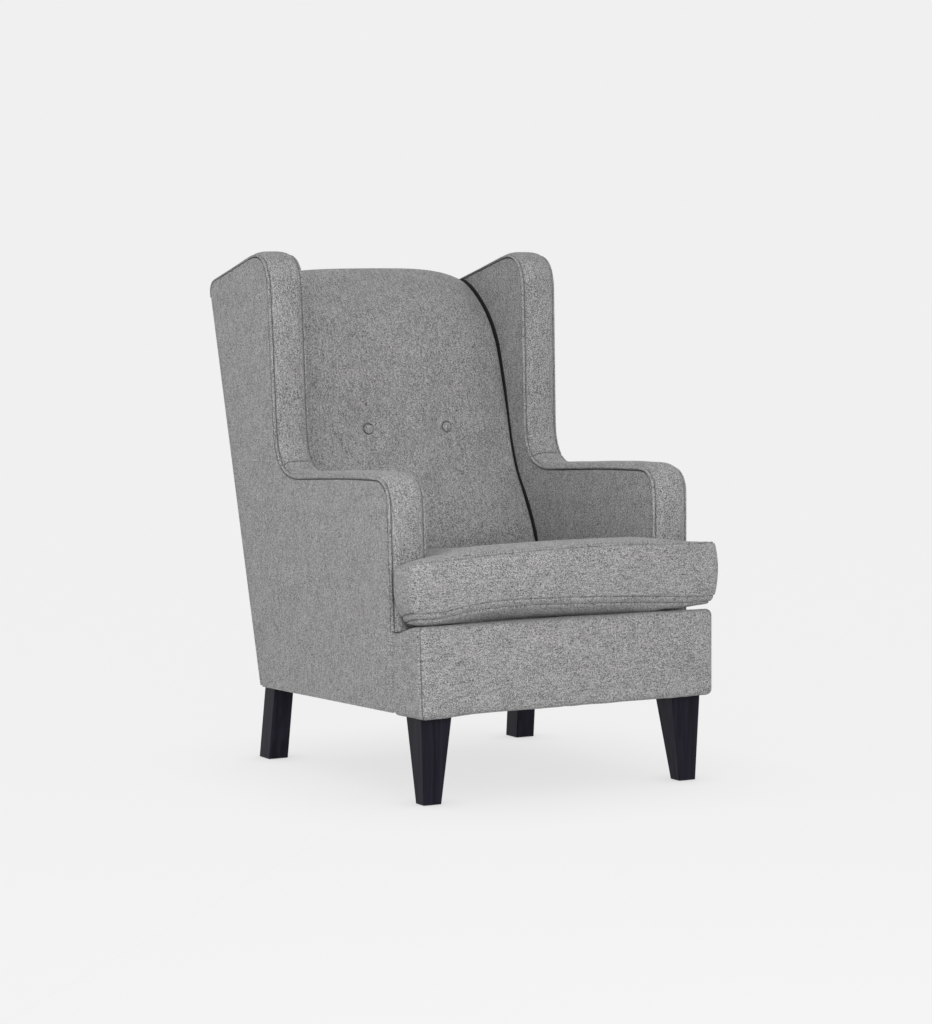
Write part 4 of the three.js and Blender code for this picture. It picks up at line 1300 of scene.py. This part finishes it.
case_edge = nearest_of([(*p, 0) for p in evenly([*plan_path, plan_path[0]], CUSHION_GRID / 3)])
plan_run = CUSHION_REAR - CUSHION_FRONT
for v in cushion.verts:
    x, y, _ = v.co
    back = (y - CUSHION_FRONT) / plan_run
    front = max(0, 1 - back * 4)
    arch = 1 - part_way(abs(x), 0, ARCH_HALF) ** 2
    on_ear = part_way(abs(x), CUSHION_MAIN, EAR_STEP)
    behind = part_way(y - CUSHION_FRONT, 0.025, 0.06)
    outermost = part_way(abs(x), CUSHION_MAIN, CUSHION_EAR - CUSHION_MAIN) ** 2
    high = SEAM_HIGH + front * (SEAM_ARCH * arch + SEAM_TILT * x / CUSHION_EAR) - REAR_DROP * back
    high -= EAR_DROOP * outermost * behind
    low_arch = 1 - part_way(abs(x), 0, ARCH_HALF) ** 3
    low = SEAM_LOW + front * (LOW_ARCH - LOW_SLOPE * x) * low_arch - EAR_SAG * on_ear * behind
    inward = case_edge.find(Vector((x, y, 0)))[2]
    if v[part] == TOP:
        full = 1 - 0.75 * part_way(abs(x), 0.22, 0.12)
        z = high + TOP_CROWN * full * (1 - (1 - min(1, inward / TOP_RUN)) ** 2)
    elif v[part] == UNDER:
        rests_at = DECK_LINE + END_LIFT * part_way(x, 0.20, 0.13)
        z = max(rests_at, low - LOW_CROWN * (1 - (1 - min(1, inward / LOW_RUN)) ** 2))
    else:
        z = high + (low - high) * v[ring_no] / BOXING_RINGS
    v.co = (x, bowed(x, y), z)
face_out(cushion)
for v in cushion.verts:
    down = v[ring_no] / BOXING_RINGS
    if v[part] == BOXING:
        out = Vector((v.normal.x, v.normal.y, 0))
        if out.length > 0.1 and v.co.y < CUSHION_REAR - 0.02:
            ahead = 1 if v.co.y < CUSHION_EAR_REAR + 0.005 else 0
            bulge = BOXING_SWELL + (END_SWELL - BOXING_SWELL) * ahead * abs(out.normalized().x)
            v.co += out.normalized() * bulge * math.sin(math.pi * down) ** 0.8
    if v[part] == UNDER:
        down = 1
    rear_of_ear = part_way(v.co.y, -0.075, 0.05) if v.co.y < CUSHION_EAR_REAR + 0.01 else 0
    beyond = part_way(abs(v.co.x), CUSHION_MAIN, CUSHION_EAR - CUSHION_MAIN)
    v.co.x -= math.copysign(EAR_TUCK * down**2 * rear_of_ear * beyond, v.co.x)
lean(cushion)
seat = loose_piece("seat_cushion_cover", cushion)
seam_spots = {v for e in seat.data.edges if e.use_seam for v in e.vertices}
case_seams = nearest_of([seat.data.vertices[v].co for v in seam_spots])
crest_line = on_chair((0, -0.03, 0)).y


def seam_held(place):
    return 1.0 if case_seams.find(place)[2] < 1e-5 else 0.0


def cushion_cap(place):
    """The case swells least at its back, where the sitter's back holds it."""
    return CUSHION_CAP if place.y < crest_line else CUSHION_CAP * 0.4


swell(seat, seam_held, CUSHION_PRESSURE, cushion_cap, CUSHION_SLACK)

sewn = bmesh.new()
sewn.from_mesh(seat.data)
seams = [e for e in sewn.edges if e.seam]
seam_faces = set(rolled(sewn, seams, SEAM_WIDTH, 4)["faces"])
sewn.normal_update()
between_seams = on_chair((0, 0.2, (SEAM_LOW + SEAM_HIGH) / 2 - REAR_DROP / 3)).z
for v in {v for f in seam_faces for v in f.verts}:
    if seam_faces.issuperset(v.link_faces):
        out = Vector((v.normal.x, v.normal.y, 0)).normalized()
        v.co -= (out + Vector((0, 0, math.copysign(1, v.co.z - between_seams)))).normalized() * SEAM_DEPTH
lay_weave(sewn, True)
sewn.to_mesh(seat.data)
sewn.free()
finish_cover(seat, "seat_cushion", "seat_cushion")

# Zip: two woven tapes with moulded teeth, sewn into the back boxing of the cushion, so that its
# cover comes off. Its steel slider runs along the teeth.
ZIP_HALF = 0.2095
ZIP_MIDDLE = 0.2418
ZIP_TAPE = 0.0255
ZIP_BACK = 0.4303
TAPE_THICK = 0.0007
TAPE_GAP = 0.0003
ZIP_END = 0.012
TOOTH = (0.0013, 0.0008, 0.0034)
TOOTH_PITCH = 0.0026
TOOTH_SET = 0.0010

zip_mesh = bmesh.new()
for sign in (-1, 1):
    middle = (0, ZIP_BACK + TAPE_THICK / 2, ZIP_MIDDLE + sign * (ZIP_TAPE / 4 + TAPE_GAP))
    tape = block(zip_mesh, (2 * ZIP_HALF, TAPE_THICK, ZIP_TAPE / 2 - 2 * TAPE_GAP), middle)
    rolled(zip_mesh, edges_along(tape, 0, 0.1), 0.0002, 1)
    count = round(2 * (ZIP_HALF - ZIP_END) / TOOTH_PITCH)
    for i in range(count):
        x = (i + 0.5 + sign * 0.25 - count / 2) * TOOTH_PITCH
        block(zip_mesh, TOOTH, (x, ZIP_BACK + TAPE_THICK + TOOTH[1] / 2, ZIP_MIDDLE + sign * TOOTH_SET))
lean(zip_mesh)
face_out(zip_mesh)
fit(new_piece("cushion_zip_tape", zip_mesh, webbing), "seat_cushion", "cushion_zip")

# Studio: a pale seamless floor, even light all round, and three large softboxes at the picture's
# front left: one to the side, one nearer the camera and one above it.
BACKGROUND = 0.8714
FLOOR_GREY = 0.03
FLOOR_GLOW = 0.8450
FLOOR_SHADE = 0.83
SHADE_REACH = 0.34
CONTACT_SHADE = 0.80
CONTACT_REACH = 0.07
SOFTBOX = 1.4
SOFTBOX_AIM = Vector((0, 0, 0.55))
SOFTBOXES = {
    "side_softbox": ((-3.35, -0.59, 1.3), 27),
    "front_softbox": ((-0.88, -3.28, 1.3), 59),
    "high_softbox": ((-1.95, -2.79, 2.4), 30),
}

floor_mesh = bmesh.new()
bmesh.ops.create_grid(floor_mesh, x_segments=1, y_segments=1, size=400)
floor_finish, floor_shader, floor_start = new_finish(
    "pale_floor",
    BaseColor=(FLOOR_GREY, FLOOR_GREY, FLOOR_GREY, 1),
    Roughness=1.0,
    SpecularIORLevel=0.0,
    EmissionStrength=FLOOR_GLOW,
)


def shade(darkest, reach):
    """The floor's own light, dimmed where something stands within reach over it."""
    openness = floor_start.node("AmbientOcclusion", {"samples": 12}, {"Distance": reach}, 1)
    return openness * (1 - darkest) + darkest


feed(floor_shader, EmissionColor=shade(FLOOR_SHADE, SHADE_REACH) * shade(CONTACT_SHADE, CONTACT_REACH))
new_piece("floor", floor_mesh, floor_finish)

world = bpy.data.worlds.new("studio")
world.use_nodes = True
sky = world.node_tree.nodes["Background"].inputs
sky["Color"].default_value = (1, 1, 1, 1)
sky["Strength"].default_value = BACKGROUND
bpy.context.scene.world = world
bpy.context.scene.view_settings.view_transform = "Standard"
for name, (place, power) in SOFTBOXES.items():
    light = bpy.data.lights.new(name, "AREA")
    light.shape = "SQUARE"
    light.size = SOFTBOX
    light.energy = power
    lamp = added(name, light)
    lamp.location = place
    lamp.rotation_euler = (SOFTBOX_AIM - Vector(place)).to_track_quat("-Z", "Y").to_euler()

# Camera: a long lens a little above the seat, towards the chair's right front.
CAMERA_PLACE = Vector((-3.18278, ARM_FRONT - 5.29474, 1.04871))
CAMERA_BACK = Vector((-0.4919, -0.8670, 0.0792))
CAMERA_LENS = 108.46

camera = added("camera", bpy.data.cameras.new("camera"))
camera.data.lens = CAMERA_LENS
camera.location = CAMERA_PLACE
camera.rotation_euler = CAMERA_BACK.to_track_quat("Z", "Y").to_euler()
bpy.context.scene.camera = camera
